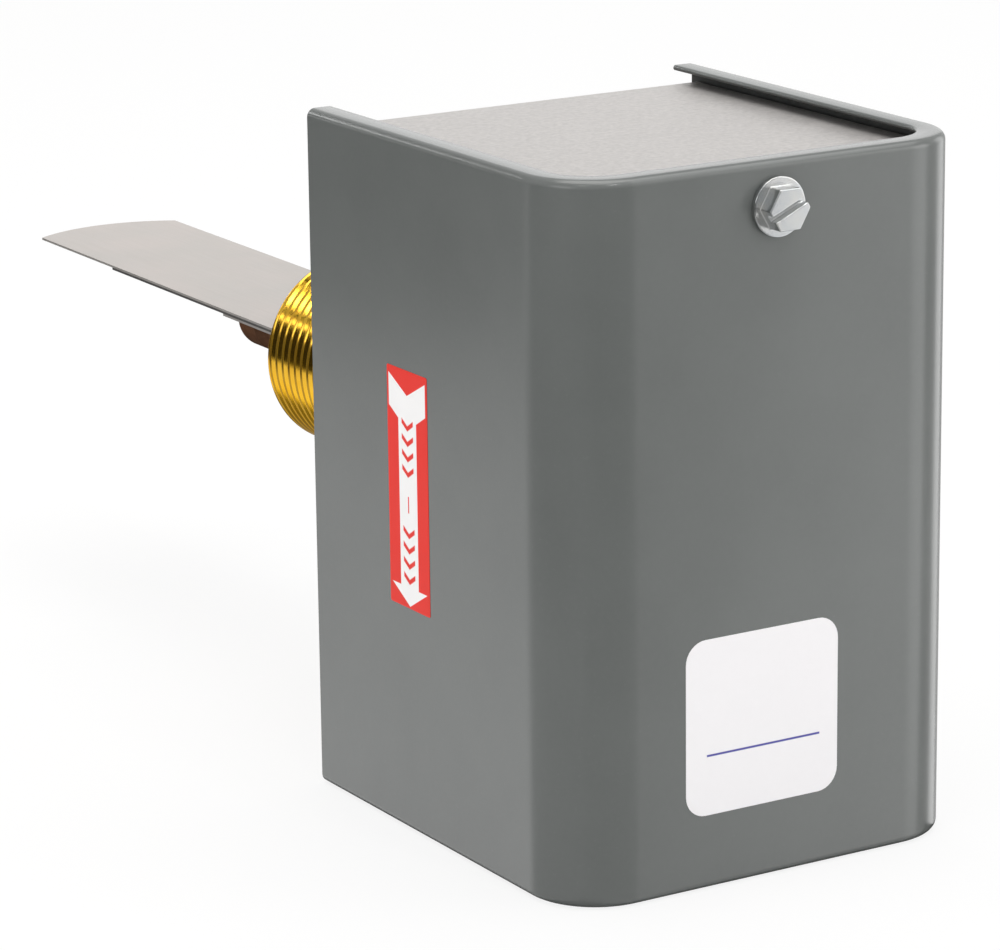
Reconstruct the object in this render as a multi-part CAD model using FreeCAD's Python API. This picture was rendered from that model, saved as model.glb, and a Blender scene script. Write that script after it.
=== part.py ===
"""Paddle flow switch.

A brass pipe body carries a galvanised frame.  The frame holds a snap switch and a range
spring, and a painted cover slides over it from the front.  A bronze arm pivots inside the
brass body: its outer end holds three stacked paddles in the pipe and its inner end moves
the main lever.

Millimetres.  +X is to the right of someone facing the cover, +Y points into the pipe and
+Z is up.  The origin is on the pipe thread's axis, in its hand-tight plane.
"""

import FreeCAD, Part
import math
import os

Vec = FreeCAD.Vector
ALONG_X = Vec(1, 0, 0)
ALONG_Y = Vec(0, 1, 0)
ALONG_Z = Vec(0, 0, 1)
TINY = 0.001            # tolerance for picking edges
OVERCUT = 1.0           # how far a cutting tool runs past the face that it opens

# ---- Driving dimensions ----------------------------------------------------------------

# Case, measured over the painted cover
case_width = 74.6
case_depth = 77.5
case_height = 113.0
case_corner_r = 12.0
axis_over_middle = 1.7          # pipe axis above the middle of the case's height
cover_sheet = 0.9
lip_width = 4.6                 # turned-in lip, from the cover's outer face
lip_bend_r = 1.0                # outside radius of the lip's bend
cover_gap = 0.5                 # cover to frame, at the sides and the front
lip_gap = 1.9                   # lip to frame plate

# Galvanised frame
frame_sheet = 1.5
frame_bend_r = 2.5              # outside
conduit_r = 11.1                # clearance hole for a 1/2 in conduit fitting
conduit_from_front = 37.0
tab_width = 14.0
tab_below_screw = 5.0

# Cover screw, number 8 with a slotted hex washer head
cover_screw_r = 2.08
cover_screw_drop = 7.0          # from the top of the case
cover_screw_length = 9.0
screw_washer_r = 4.65
screw_washer_thickness = 0.9
screw_hex_flats = 6.35
screw_hex_height = 2.7
screw_slot_width = 1.1
screw_slot_depth = 1.4
screw_slot_angle = 24.0         # degrees from level
tapped_boss_r = 3.0
tapped_boss_length = 1.6

# Brass pipe body, 1 in NPT
thread_r = 16.7
thread_length = 25.0
hand_tight_depth = 10.2
thread_chamfer = 0.5
relief_r = 15.0
relief_length = 2.2
hex_flats = 38.1
hex_length = 16.0
hex_chamfer = 1.4
neck_r = 16.0
neck_length = 8.0
flange_r = 19.5
flange_thickness = 3.0
chamber_r = 12.3                # wet bore round the arm
chamber_depth = 48.2            # from the thread's end to the bellows seat
spigot_r = 12.0
spigot_length = 16.0            # from the flange to the spigot's inner end
spigot_bore_r = 6.2
locknut_flats = 30.0
locknut_thickness = 5.0

# Arm and its pivot
pivot_from_spigot_end = 6.0
pivot_r = 1.5
paddle_swing = 6.0              # degrees, from still water to full flow
arm_inner_r = 3.6
arm_outer_r = 4.4
arm_bulb_r = 5.6
arm_bulb_length = 10.0
arm_bulb_round = 2.4
arm_reach = 33.0                # past the end of the thread
collar_r = 8.3
collar_thickness = 2.0
bellows_length = 14.0
bellows_root_r = 6.4
bellows_wall = 0.35
bellows_folds = 6
arm_tail_r = 2.5
arm_tail_reach = 10.0           # past the spigot's inner end

# Paddles, shim steel
paddle_width = 28.6
paddle_thickness = 0.4
paddle_reach = 98.8             # longest paddle's tip, past the end of the thread
paddle_shortfall = (0.0, 30.0, 74.0)    # each paddle's, from the longest
paddle_tip_r = 26.0
paddle_root_gap = 1.0           # thread end to paddle
paddle_root_corner_r = 2.0
paddle_top_height = 4.9         # above the pipe axis
paddle_screw_r = 1.6
paddle_screw_depth = 4.5
paddle_screw_head_r = 3.0
paddle_screw_head_height = 1.9
paddle_screw_first = 6.0        # past the end of the thread
paddle_screw_pitch = 8.0

# Main lever
lever_sheet = 1.6
lever_behind_spigot = 2.0       # spigot's inner end to the lever
lever_width = 16.0
lever_top_width = 10.0
lever_shoulder_height = 12.0
lever_top_height = 36.0
lever_foot_depth = 9.6          # pipe axis down to the foot's underside
lever_foot_length = 13.0
lever_bend_r = 2.2              # outside
lever_nut_flats = 8.0
lever_nut_thickness = 4.0
lever_washer_r = 4.4
lever_washer_thickness = 1.0

# Range spring, its nut and its adjusting screw
spring_height = 28.0            # above the pipe axis
spring_wire_r = 0.6
spring_plug_r = 3.4             # stud and nut neck that the end coils grip
spring_turns = 10
stud_length = 7.0
stud_rivet_r = 1.6
stud_head_r = 3.0
stud_head_thickness = 1.0
spring_length = 27.4            # lever to nut, at rest
range_screw_r = 2.08
range_head_flats = 7.9
range_head_height = 3.2
range_screw_tail = 7.0          # past the nut's rear face
nut_square = 10.0
nut_thickness = 5.0
nut_neck_length = 5.0
nut_travel = 4.2                # each way
clip_r = 4.4
clip_thickness = 0.8

# Bracket behind and round the mechanism
bracket_sheet = 1.5
bracket_width = 34.0
bracket_bend_r = 2.5            # outside
bracket_arm_gap = 2.0           # above the lever's top
bracket_tab_depth = 18.5
bracket_shoulder_height = 18.0
bracket_taper = 10.0
tab_to_nut = 12.0               # front tab's rear face to the nut, at rest
stop_width = 5.0
stop_overlap = 2.0              # height over which the stop faces the lever
bracket_screw_x = 10.0
bracket_screw_height = 26.0
small_screw_r = 1.7
small_head_r = 3.1
small_head_height = 1.8

# Snap switch
switch_width = 38.0
switch_depth = 43.0
switch_height = 22.0
switch_top_depth = 14.3         # pipe axis down to the top of the switch's cover
switch_cover_thickness = 2.0
switch_side_wall = 2.5
switch_front_wall = 6.0
switch_rear_wall = 5.0
switch_floor = 2.5
switch_front_from_pivot = 46.0
switch_edge_r = 1.2
rib_thickness = 1.6
rib_reach = 6.0
plunger_from_pivot = 15.0
plunger_r = 1.9
plunger_dome_r = 2.4
plunger_flange_r = 3.0
plunger_flange_thickness = 1.0
touch_gap = 0.15                # plunger to lever, and plunger to blade
blade_width = 5.0
blade_thickness = 0.4
blade_ledge = 1.5               # common terminal's ledge under the blade's hinged edge
blade_hinge_from_pivot = 32.0
blade_height = 9.6              # blade's top, below the top of the switch's cover
contact_r = 1.5
contact_height = 0.5
contact_from_pivot = 10.5
contact_gap = 0.1               # closed contact, and open contact at full swing
strip_width = 6.0
strip_thickness = 0.8
contact_leg_width = 4.0
terminal_width = 9.6
terminal_height = 14.0
terminal_plate = 0.9
terminal_screw_depth = 16.0     # below the top of the switch's cover
terminal_screw_length = 5.0
terminal_head_r = 3.9
terminal_head_height = 2.0
switch_post_r = 3.2
switch_post_height = 6.0

# Ground screw
ground_inset = 8.9              # in from the frame's left side
ground_depth = 40.0             # below the pipe axis
ground_head_flats = 7.9
ground_head_height = 2.6
ground_washer_r = 4.8
ground_washer_thickness = 0.9

# Clearances
running = 0.05                  # shaft in its hole, on the radius
seated = 0.02                   # fixed piece in its hole, on the radius
guide = 0.3                     # sliding piece in its channel, on each side
slot_play = 0.1                 # strip in its slot, on each side

# ---- Datums ----------------------------------------------------------------------------

thread_end = hand_tight_depth
thread_start = thread_end - thread_length
relief_start = thread_start - relief_length
hex_start = relief_start - hex_length
neck_start = hex_start - neck_length
case_rear = neck_start - flange_thickness
case_front = case_rear - case_depth
case_bottom = -case_height / 2 - axis_over_middle
case_top = case_bottom + case_height
wall_face = case_rear + -frame_sheet                 # frame's rear wall, inside
web_face = wall_face - bracket_sheet                 # bracket's web, inside
spigot_end = case_rear - spigot_length
bellows_seat = thread_end - chamber_depth
pivot_y = spigot_end + pivot_from_spigot_end

frame_front = case_front + cover_sheet + cover_gap
frame_top = case_top - cover_sheet - lip_gap
frame_bottom = case_bottom + cover_sheet + lip_gap
frame_half_width = case_width / 2 - cover_sheet - cover_gap
ground_x = ground_inset - frame_half_width
cover_screw_z = case_top - cover_screw_drop

lever_rear = spigot_end - lever_behind_spigot
lever_front = lever_rear - lever_sheet
nut_rear = lever_front - spring_length
nut_front = nut_rear - nut_thickness
tab_rear = nut_front - tab_to_nut
tab_front = tab_rear - bracket_sheet
arm_underside = lever_top_height + bracket_arm_gap   # bracket's upper arm
arm_topside = arm_underside + bracket_sheet

switch_top = -switch_top_depth
block_top = switch_top - switch_cover_thickness
block_bottom = block_top - switch_height
switch_front = pivot_y - switch_front_from_pivot
switch_rear = switch_front + switch_depth
cavity_front = switch_front + switch_front_wall
cavity_rear = switch_rear - switch_rear_wall
shelf_underside = block_bottom - bracket_sheet

swing = math.radians(paddle_swing)
plunger_y = pivot_y - plunger_from_pivot
plunger_rise = plunger_from_pivot * swing
blade_hinge_y = pivot_y - blade_hinge_from_pivot
blade_top = switch_top - blade_height
blade_swing = plunger_rise / (blade_hinge_from_pivot - plunger_from_pivot)
contact_y = pivot_y - contact_from_pivot
contact_rise = (contact_y + contact_r - blade_hinge_y) * math.sin(blade_swing)
bay_pitch = (switch_width - rib_thickness) / 3


# ---- Shape helpers ---------------------------------------------------------------------

def block(x, y, z):
    """Box between the two ends given for each axis."""
    return Part.makeBox(x[1] - x[0], y[1] - y[0], z[1] - z[0], Vec(x[0], y[0], z[0]))


def centred(width, y, z, x=0):
    """Box of a given width about the plane at x."""
    return block((x - width / 2, x + width / 2), y, z)


def rod(radius, y, x=0, z=0):
    """Cylinder along Y."""
    return Part.makeCylinder(radius, y[1] - y[0], Vec(x, y[0], z), ALONG_Y)


def post(radius, z, x=0, y=0):
    """Cylinder along Z."""
    return Part.makeCylinder(radius, z[1] - z[0], Vec(x, y, z[0]), ALONG_Z)


def hex_bar(flats, y, x=0, z=0):
    """Hexagonal bar along Y with one flat at the bottom."""
    corner = flats / math.sqrt(3)
    angles = [math.radians(60 * i) for i in range(7)]
    points = [Vec(x + corner * math.cos(a), y[0], z + corner * math.sin(a)) for a in angles]
    return Part.Face(Part.makePolygon(points)).extrude(Vec(0, y[1] - y[0], 0))


def turned(outline):
    """Solid of revolution about the pipe axis, from (y, radius) points."""
    points = [Vec(0, y, radius) for y, radius in outline]
    face = Part.Face(Part.makePolygon(points + points[:1]))
    return face.revolve(Vec(0, 0, 0), ALONG_Y, 360)


def rounded(shape, radius, axis, picks):
    """Fillet the straight edges along an axis whose middle a test in picks accepts."""
    edges = []
    for edge in shape.Edges:
        if not isinstance(edge.Curve, Part.Line):
            continue
        if edge.tangentAt(edge.FirstParameter).cross(axis).Length > TINY:
            continue
        if picks(edge.CenterOfMass):
            edges.append(edge)
    return shape.makeFillet(radius, edges)


def near(a, b):
    return abs(a - b) < TINY


def fused(first, *others):
    return first.fuse(list(others)).removeSplitter()


def slotted(shape, head_front, radius, x=0, z=0, angle=0.0):
    """Cut a screwdriver slot across a head that faces the front."""
    slot = centred(screw_slot_width, (head_front - OVERCUT, head_front + screw_slot_depth),
                   (-radius - OVERCUT, radius + OVERCUT))
    slot.rotate(Vec(0, 0, 0), ALONG_Y, 90 - angle)
    slot.translate(Vec(x, 0, z))
    return shape.cut(slot)


def case_block(inset, low, high, rear):
    """The case's outline, open or closed at the rear, set in from the outer face."""
    half = case_width / 2 - inset
    front = case_front + inset
    shape = block((-half, half), (front, rear), (low, high))
    return rounded(shape, case_corner_r - inset, ALONG_Z, lambda p: near(p.y, front))


def rim_rounded(shape, low, high, rear, radius):
    """Fillet the top and bottom rims round the sides and the front."""
    edges = []
    for edge in shape.Edges:
        middle = edge.CenterOfMass
        if (near(middle.z, low) or near(middle.z, high)) and not near(middle.y, rear):
            edges.append(edge)
    return shape.makeFillet(radius, edges)


# ---- Case ------------------------------------------------------------------------------

def make_cover():
    """Drawn steel cover: a front, two sides and a lip turned in along its top and bottom."""
    outside = case_block(0, case_bottom, case_top, case_rear)
    outside = rim_rounded(outside, case_bottom, case_top, case_rear, lip_bend_r)
    low, high = case_bottom + cover_sheet, case_top - cover_sheet
    rear = case_rear + OVERCUT
    inside = case_block(cover_sheet, low, high, rear)
    inside = rim_rounded(inside, low, high, rear, lip_bend_r - cover_sheet)
    mouth = case_block(lip_width, case_bottom - OVERCUT, case_top + OVERCUT, rear)
    screw_hole = rod(cover_screw_r + guide, (case_front - OVERCUT, case_front + lip_width),
                     z=cover_screw_z)
    return outside.cut([inside, mouth, screw_hole])


def make_back_frame():
    """Galvanised channel: rear wall, top plate and bottom plate, with the cover's tab."""
    inset = cover_sheet + cover_gap
    outside = case_block(inset, frame_bottom, frame_top, case_rear)
    rear_bends = lambda p: near(p.y, case_rear)
    outside = rounded(outside, frame_bend_r, ALONG_X, rear_bends)
    low, high = frame_bottom + frame_sheet, frame_top - frame_sheet
    inside = block((-case_width, case_width), (case_front, wall_face), (low, high))
    inside = rounded(inside, frame_bend_r - frame_sheet, ALONG_X, lambda p: near(p.y, wall_face))
    frame = outside.cut(inside)

    tab = centred(tab_width, (frame_front, frame_front + frame_sheet),
                  (cover_screw_z - tab_below_screw, frame_top))
    tab = rounded(tab, tab_width / 5, ALONG_Y,
                  lambda p: near(p.z, cover_screw_z - tab_below_screw))
    boss = rod(tapped_boss_r, (frame_front, frame_front + frame_sheet + tapped_boss_length),
               z=cover_screw_z)
    frame = fused(frame, tab, boss)
    holes = [
        rod(cover_screw_r + running, (frame_front - OVERCUT, frame_front + lip_width * 2),
            z=cover_screw_z),
        rod(spigot_r + slot_play, (wall_face - OVERCUT, case_rear + OVERCUT)),
        post(conduit_r, (frame_bottom - OVERCUT, low + OVERCUT),
             y=case_front + conduit_from_front),
        rod(small_screw_r + seated, (wall_face - OVERCUT, case_rear + OVERCUT),
            x=ground_x, z=-ground_depth),
    ]
    for side in (-1, 1):
        holes.append(rod(small_screw_r + seated, (wall_face - OVERCUT, case_rear + OVERCUT),
                         x=side * bracket_screw_x, z=bracket_screw_height))
    return frame.cut(holes)


def make_cover_screw():
    washer_front = case_front - screw_washer_thickness
    head_front = washer_front - screw_hex_height
    shank = rod(cover_screw_r, (case_front, case_front + cover_screw_length), z=cover_screw_z)
    washer = rod(screw_washer_r, (washer_front, case_front), z=cover_screw_z)
    head = hex_bar(screw_hex_flats, (head_front, washer_front), z=cover_screw_z)
    screw = fused(shank, washer, head)
    return slotted(screw, head_front, screw_washer_r, z=cover_screw_z, angle=screw_slot_angle)


# ---- Pipe body, arm and paddles ----------------------------------------------------------

def make_brass_body():
    """Turned body: pipe thread, relief, hexagon, neck, flange and the spigot inside."""
    hex_corner = hex_flats / math.sqrt(3)
    bevel = hex_chamfer * math.tan(math.radians(30))
    outside = turned([
        (spigot_end, 0), (spigot_end, spigot_r), (case_rear, spigot_r),
        (case_rear, flange_r), (neck_start, flange_r), (neck_start, neck_r),
        (hex_start, neck_r), (hex_start, relief_r), (thread_start, relief_r),
        (thread_start, thread_r), (thread_end - thread_chamfer, thread_r),
        (thread_end, thread_r - thread_chamfer), (thread_end, 0),
    ])
    bevels = turned([
        (hex_start, 0), (hex_start, hex_corner - hex_chamfer), (hex_start + bevel, hex_corner),
        (relief_start - bevel, hex_corner), (relief_start, hex_corner - hex_chamfer),
        (relief_start, 0),
    ])
    hexagon = hex_bar(hex_flats, (hex_start, relief_start)).common(bevels)
    chamber = rod(chamber_r, (bellows_seat, thread_end + OVERCUT))
    bore = rod(spigot_bore_r, (spigot_end - OVERCUT, thread_end))
    cross_hole = Part.makeCylinder(pivot_r + seated, 2 * spigot_r + 2 * OVERCUT,
                                   Vec(-spigot_r - OVERCUT, pivot_y, 0), ALONG_X)
    return fused(outside, hexagon).cut([chamber, bore, cross_hole])


def make_body_locknut():
    nut = hex_bar(locknut_flats, (web_face - locknut_thickness, web_face))
    return nut.cut(rod(spigot_r + seated, (spigot_end, case_rear)))


def make_pivot_pin():
    length = 2 * spigot_r - cover_gap
    return Part.makeCylinder(pivot_r, length, Vec(-length / 2, pivot_y, 0), ALONG_X)


def paddle_screw_places():
    return [thread_end + paddle_screw_first + i * paddle_screw_pitch for i in range(2)]


def make_paddle_arm():
    """Turned arm with a collar for the bellows and a flat that the paddles seat on."""
    collar_rear = bellows_seat + bellows_length
    collar_front = collar_rear + collar_thickness
    tip = thread_end + arm_reach
    bulb = tip - arm_bulb_length
    arm = turned([
        (spigot_end - arm_tail_reach, 0), (spigot_end - arm_tail_reach, arm_tail_r),
        (lever_rear, arm_tail_r), (lever_rear, arm_inner_r), (collar_rear, arm_inner_r),
        (collar_rear, collar_r), (collar_front, collar_r), (collar_front, arm_outer_r),
        (bulb, arm_outer_r), (bulb + arm_bulb_round, arm_bulb_r), (tip, arm_bulb_r), (tip, 0),
    ])
    tip_edges = [e for e in arm.Edges if near(e.CenterOfMass.y, tip) and len(e.Vertexes) == 1
                 and near(e.Curve.Radius, arm_bulb_r)]
    arm = arm.makeFillet(arm_bulb_round, tip_edges)
    seat = paddle_top_height - 3 * paddle_thickness
    flat = centred(4 * arm_bulb_r, (thread_end + paddle_root_gap / 2, tip + OVERCUT),
                   (seat, 2 * arm_bulb_r))
    cuts = [flat, Part.makeCylinder(pivot_r + running, 4 * arm_inner_r,
                                    Vec(-2 * arm_inner_r, pivot_y, 0), ALONG_X)]
    for y in paddle_screw_places():
        cuts.append(post(paddle_screw_r + seated, (seat - paddle_screw_depth, seat + OVERCUT), y=y))
    return arm.cut(cuts)


def make_bellows():
    """Thin bronze bellows between the chamber's seat and the arm's collar."""
    folds = 2 * bellows_folds
    step = bellows_length / folds
    outer = []
    for i in range(folds + 1):
        radius = bellows_root_r if i % 2 == 0 else collar_r
        outer.append((bellows_seat + i * step, radius))
    inner = [(y, radius - bellows_wall) for y, radius in reversed(outer)]
    return turned(outer + inner)


def make_paddle(index):
    """One flat paddle with a bowed tip; index 0 is the longest and lies on top."""
    root = thread_end + paddle_root_gap
    tip = thread_end + paddle_reach - paddle_shortfall[index]
    half = paddle_width / 2
    bow = paddle_tip_r - math.sqrt(paddle_tip_r ** 2 - half ** 2)
    low = paddle_top_height - (index + 1) * paddle_thickness
    left, right = Vec(-half, tip - bow, low), Vec(half, tip - bow, low)
    outline = Part.Wire([
        Part.makeLine(Vec(-half, root, low), Vec(half, root, low)),
        Part.makeLine(Vec(half, root, low), right),
        Part.Arc(right, Vec(0, tip, low), left).toShape(),
        Part.makeLine(left, Vec(-half, root, low)),
    ])
    paddle = Part.Face(outline).extrude(Vec(0, 0, paddle_thickness))
    paddle = rounded(paddle, paddle_root_corner_r, ALONG_Z, lambda p: near(p.y, root))
    return paddle.cut([post(paddle_screw_r + seated, (low - OVERCUT, low + OVERCUT * 2), y=y)
                       for y in paddle_screw_places()])


def make_paddle_screws():
    """Two pan-head screws through the paddles into the arm."""
    seat = paddle_top_height - 3 * paddle_thickness
    bottom = seat - paddle_screw_depth + slot_play
    top = paddle_top_height + paddle_screw_head_height
    screws = []
    for y in paddle_screw_places():
        head = post(paddle_screw_head_r, (paddle_top_height, top), y=y)
        rim = [e for e in head.Edges if near(e.CenterOfMass.z, top)]
        head = head.makeFillet(paddle_screw_head_height / 2, rim)
        slot = block((-screw_slot_width / 2, screw_slot_width / 2),
                     (y - 2 * paddle_screw_head_r, y + 2 * paddle_screw_head_r),
                     (top - paddle_screw_head_height / 2, top + OVERCUT))
        shank = post(paddle_screw_r, (bottom, paddle_top_height), y=y)
        screws.append(fused(shank, head).cut(slot))
    return Part.makeCompound(screws)


# ---- Main lever --------------------------------------------------------------------------

def make_main_lever():
    """Stamped lever: an upright for the spring and a foot bent forward over the plunger."""
    half, top_half = lever_width / 2, lever_top_width / 2
    shoulder = lever_shoulder_height + half - top_half
    right = [(half, -lever_foot_depth), (half, lever_shoulder_height), (top_half, shoulder),
             (top_half, lever_top_height)]
    outline = right + [(-x, z) for x, z in reversed(right)]
    points = [Vec(x, lever_front, z) for x, z in outline]
    upright = Part.Face(Part.makePolygon(points + points[:1])).extrude(Vec(0, lever_sheet, 0))
    upright = rounded(upright, top_half / 2, ALONG_Y, lambda p: near(p.z, lever_top_height))
    foot_front = lever_rear - lever_foot_length
    foot = centred(lever_width, (foot_front, lever_rear),
                   (-lever_foot_depth, -lever_foot_depth + lever_sheet))
    foot = rounded(foot, lever_width / 4, ALONG_Z, lambda p: near(p.y, foot_front))
    lever = fused(upright, foot)
    lever = rounded(lever, lever_bend_r, ALONG_X,
                    lambda p: near(p.y, lever_rear) and near(p.z, -lever_foot_depth))
    lever = rounded(lever, lever_bend_r - lever_sheet, ALONG_X,
                    lambda p: near(p.y, lever_front) and near(p.z, lever_sheet - lever_foot_depth))
    span = (lever_front - OVERCUT, lever_rear + OVERCUT)
    return lever.cut([rod(arm_tail_r + seated, span),
                      rod(stud_rivet_r + seated, span, z=spring_height)])


def make_lever_washer():
    front = lever_front - lever_washer_thickness
    washer = rod(lever_washer_r, (front, lever_front))
    return washer.cut(rod(arm_tail_r + seated, (front - OVERCUT, lever_front + OVERCUT)))


def make_lever_nut():
    rear = lever_front - lever_washer_thickness
    nut = hex_bar(lever_nut_flats, (rear - lever_nut_thickness, rear))
    return nut.cut(rod(arm_tail_r + seated, (rear - 2 * lever_nut_thickness, rear + OVERCUT)))


def make_spring_stud():
    """Stud riveted to the lever; the spring's end coils grip it."""
    plug = rod(spring_plug_r, (lever_front - stud_length, lever_front), z=spring_height)
    neck = rod(stud_rivet_r, (lever_front, lever_rear), z=spring_height)
    head = rod(stud_head_r, (lever_rear, lever_rear + stud_head_thickness), z=spring_height)
    rim = [e for e in head.Edges if near(e.CenterOfMass.y, lever_rear + stud_head_thickness)]
    return fused(plug, neck, head.makeFillet(stud_head_thickness / 2, rim))


# ---- Range adjustment --------------------------------------------------------------------

def make_range_spring():
    """Open-wound extension spring between the nut's neck and the lever's stud."""
    mean_r = spring_plug_r + running + spring_wire_r
    end_room = spring_wire_r + slot_play
    length = spring_length - 2 * end_room
    helix = Part.makeHelix(length / spring_turns, length, mean_r)
    section = Part.Wire(Part.makeCircle(spring_wire_r, Vec(mean_r, 0, 0), ALONG_Y))
    spring = Part.Wire(helix.Edges).makePipeShell([section], True, True)
    spring.rotate(Vec(0, 0, 0), ALONG_X, -90)
    spring.translate(Vec(0, nut_rear + end_room, spring_height))
    return spring


def make_spring_nut():
    """Square nut that the bracket's guides keep from turning."""
    nut = centred(nut_square, (nut_front, nut_rear),
                  (spring_height - nut_square / 2, spring_height + nut_square / 2))
    neck = rod(spring_plug_r, (nut_rear, nut_rear + nut_neck_length), z=spring_height)
    bore = rod(range_screw_r + running, (nut_front - OVERCUT, nut_rear + 2 * nut_neck_length),
               z=spring_height)
    return fused(nut, neck).cut(bore)


def make_range_screw():
    head_front = tab_front - range_head_height
    head = hex_bar(range_head_flats, (head_front, tab_front), z=spring_height)
    shank = rod(range_screw_r, (tab_front, nut_rear + range_screw_tail), z=spring_height)
    return slotted(fused(head, shank), head_front, range_head_flats, z=spring_height)


def make_screw_clip():
    """Retaining ring that keeps the adjusting screw in the bracket's front tab."""
    span = (tab_rear + slot_play, tab_rear + slot_play + clip_thickness)
    ring = rod(clip_r, span, z=spring_height)
    mouth = centred(range_screw_r * 1.5, (span[0] - OVERCUT, span[1] + OVERCUT),
                    (spring_height - 2 * clip_r, spring_height))
    return ring.cut([rod(range_screw_r, (span[0] - OVERCUT, span[1] + OVERCUT),
                         z=spring_height), mouth])


def make_mechanism_bracket():
    """Bent bracket: web on the rear wall, shelf for the switch, arm for the adjustment."""
    half = bracket_width / 2
    arm_half = nut_square / 2 + guide + bracket_sheet
    right = [(half, shelf_underside), (half, bracket_shoulder_height),
             (arm_half, bracket_shoulder_height + bracket_taper), (arm_half, arm_topside)]
    outline = right + [(-x, z) for x, z in reversed(right)]
    points = [Vec(x, web_face, z) for x, z in outline]
    web = Part.Face(Part.makePolygon(points + points[:1])).extrude(Vec(0, bracket_sheet, 0))

    shelf_front = cavity_front
    shelf = centred(bracket_width, (shelf_front, wall_face), (shelf_underside, block_bottom))
    shelf = rounded(shelf, bracket_width / 8, ALONG_Z, lambda p: near(p.y, shelf_front))
    arm = centred(2 * arm_half, (tab_front, wall_face), (arm_underside, arm_topside))
    tab_bottom = arm_topside - bracket_tab_depth
    tab = centred(2 * arm_half, (tab_front, tab_rear), (tab_bottom, arm_topside))
    guides_rear = nut_rear + nut_travel + nut_neck_length
    guides = [block(sorted((side * arm_half, side * (arm_half - bracket_sheet))),
                    (tab_rear, guides_rear), (tab_bottom, arm_topside)) for side in (-1, 1)]
    stop_face = lever_front - guide
    stop = centred(stop_width, (stop_face - bracket_sheet, stop_face),
                   (lever_top_height - stop_overlap, arm_topside))
    bracket = fused(web, shelf, arm, tab, stop, *guides)

    outer_bends = lambda p: (near(p.y, wall_face)
                             and (near(p.z, shelf_underside) or near(p.z, arm_topside)))
    bracket = rounded(bracket, bracket_bend_r, ALONG_X, outer_bends)
    bracket = rounded(bracket, bracket_bend_r - bracket_sheet, ALONG_X,
                      lambda p: near(p.y, web_face)
                      and (near(p.z, block_bottom) or near(p.z, arm_underside)))
    bracket = rounded(bracket, bracket_bend_r, ALONG_X,
                      lambda p: near(p.y, tab_front) and near(p.z, arm_topside))
    holes = [rod(spigot_r + slot_play, (web_face - OVERCUT, wall_face + OVERCUT)),
             rod(range_screw_r + running, (tab_front - OVERCUT, tab_rear + OVERCUT),
                 z=spring_height)]
    for side in (-1, 1):
        holes.append(rod(small_screw_r + seated, (web_face - OVERCUT, wall_face + OVERCUT),
                         x=side * bracket_screw_x, z=bracket_screw_height))
    for y in switch_post_places():
        holes.append(post(small_screw_r + seated, (shelf_underside - OVERCUT,
                                                   block_bottom + OVERCUT), y=y))
    return bracket.cut(holes)


def front_screw(shank_r, length, head_r, head_height, seat, x, z):
    """Round-head slotted screw along Y whose head bears on the plane y = seat."""
    head_front = seat - head_height
    head = rod(head_r, (head_front, seat), x=x, z=z)
    rim = [e for e in head.Edges if near(e.CenterOfMass.y, head_front)]
    head = head.makeFillet(head_height / 2, rim)
    shank = rod(shank_r, (seat, seat + length), x=x, z=z)
    return slotted(fused(shank, head), head_front - screw_slot_depth / 3, head_r, x=x, z=z)


def make_bracket_screws():
    return Part.makeCompound([
        front_screw(small_screw_r, bracket_sheet + frame_sheet, small_head_r,
                    small_head_height, web_face, side * bracket_screw_x, bracket_screw_height)
        for side in (-1, 1)])


def make_ground_screw():
    """Green hex-head screw with its washer, for the earth wire."""
    place = {"x": ground_x, "z": -ground_depth}
    washer_front = wall_face - ground_washer_thickness
    head_front = washer_front - ground_head_height
    shank = rod(small_screw_r, (wall_face, case_rear), **place)
    washer = rod(ground_washer_r, (washer_front, wall_face), **place)
    head = hex_bar(ground_head_flats, (head_front, washer_front), **place)
    return slotted(fused(shank, washer, head), head_front, ground_washer_r, **place)


# ---- Snap switch -------------------------------------------------------------------------

def switch_post_places():
    """Where the two screws come up through the shelf, along the switch's middle."""
    inset = 2 * switch_post_r
    return [cavity_front + inset, plunger_y - inset]


def cover_screw_places():
    """Middles of the switch's front and rear walls."""
    return [switch_front + switch_front_wall / 2, switch_rear - switch_rear_wall / 2]


def strip_levels():
    """Underside of the common, upper and lower contact strips."""
    common = blade_top - blade_thickness - strip_thickness
    upper = blade_top + contact_rise + 2 * contact_height + contact_gap
    lower = blade_top - blade_thickness - 2 * contact_height - contact_gap - strip_thickness
    return common, upper, lower


def bay_x(bay):
    """Middle of terminal bay -1, 0 or 1."""
    return bay * bay_pitch


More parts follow.
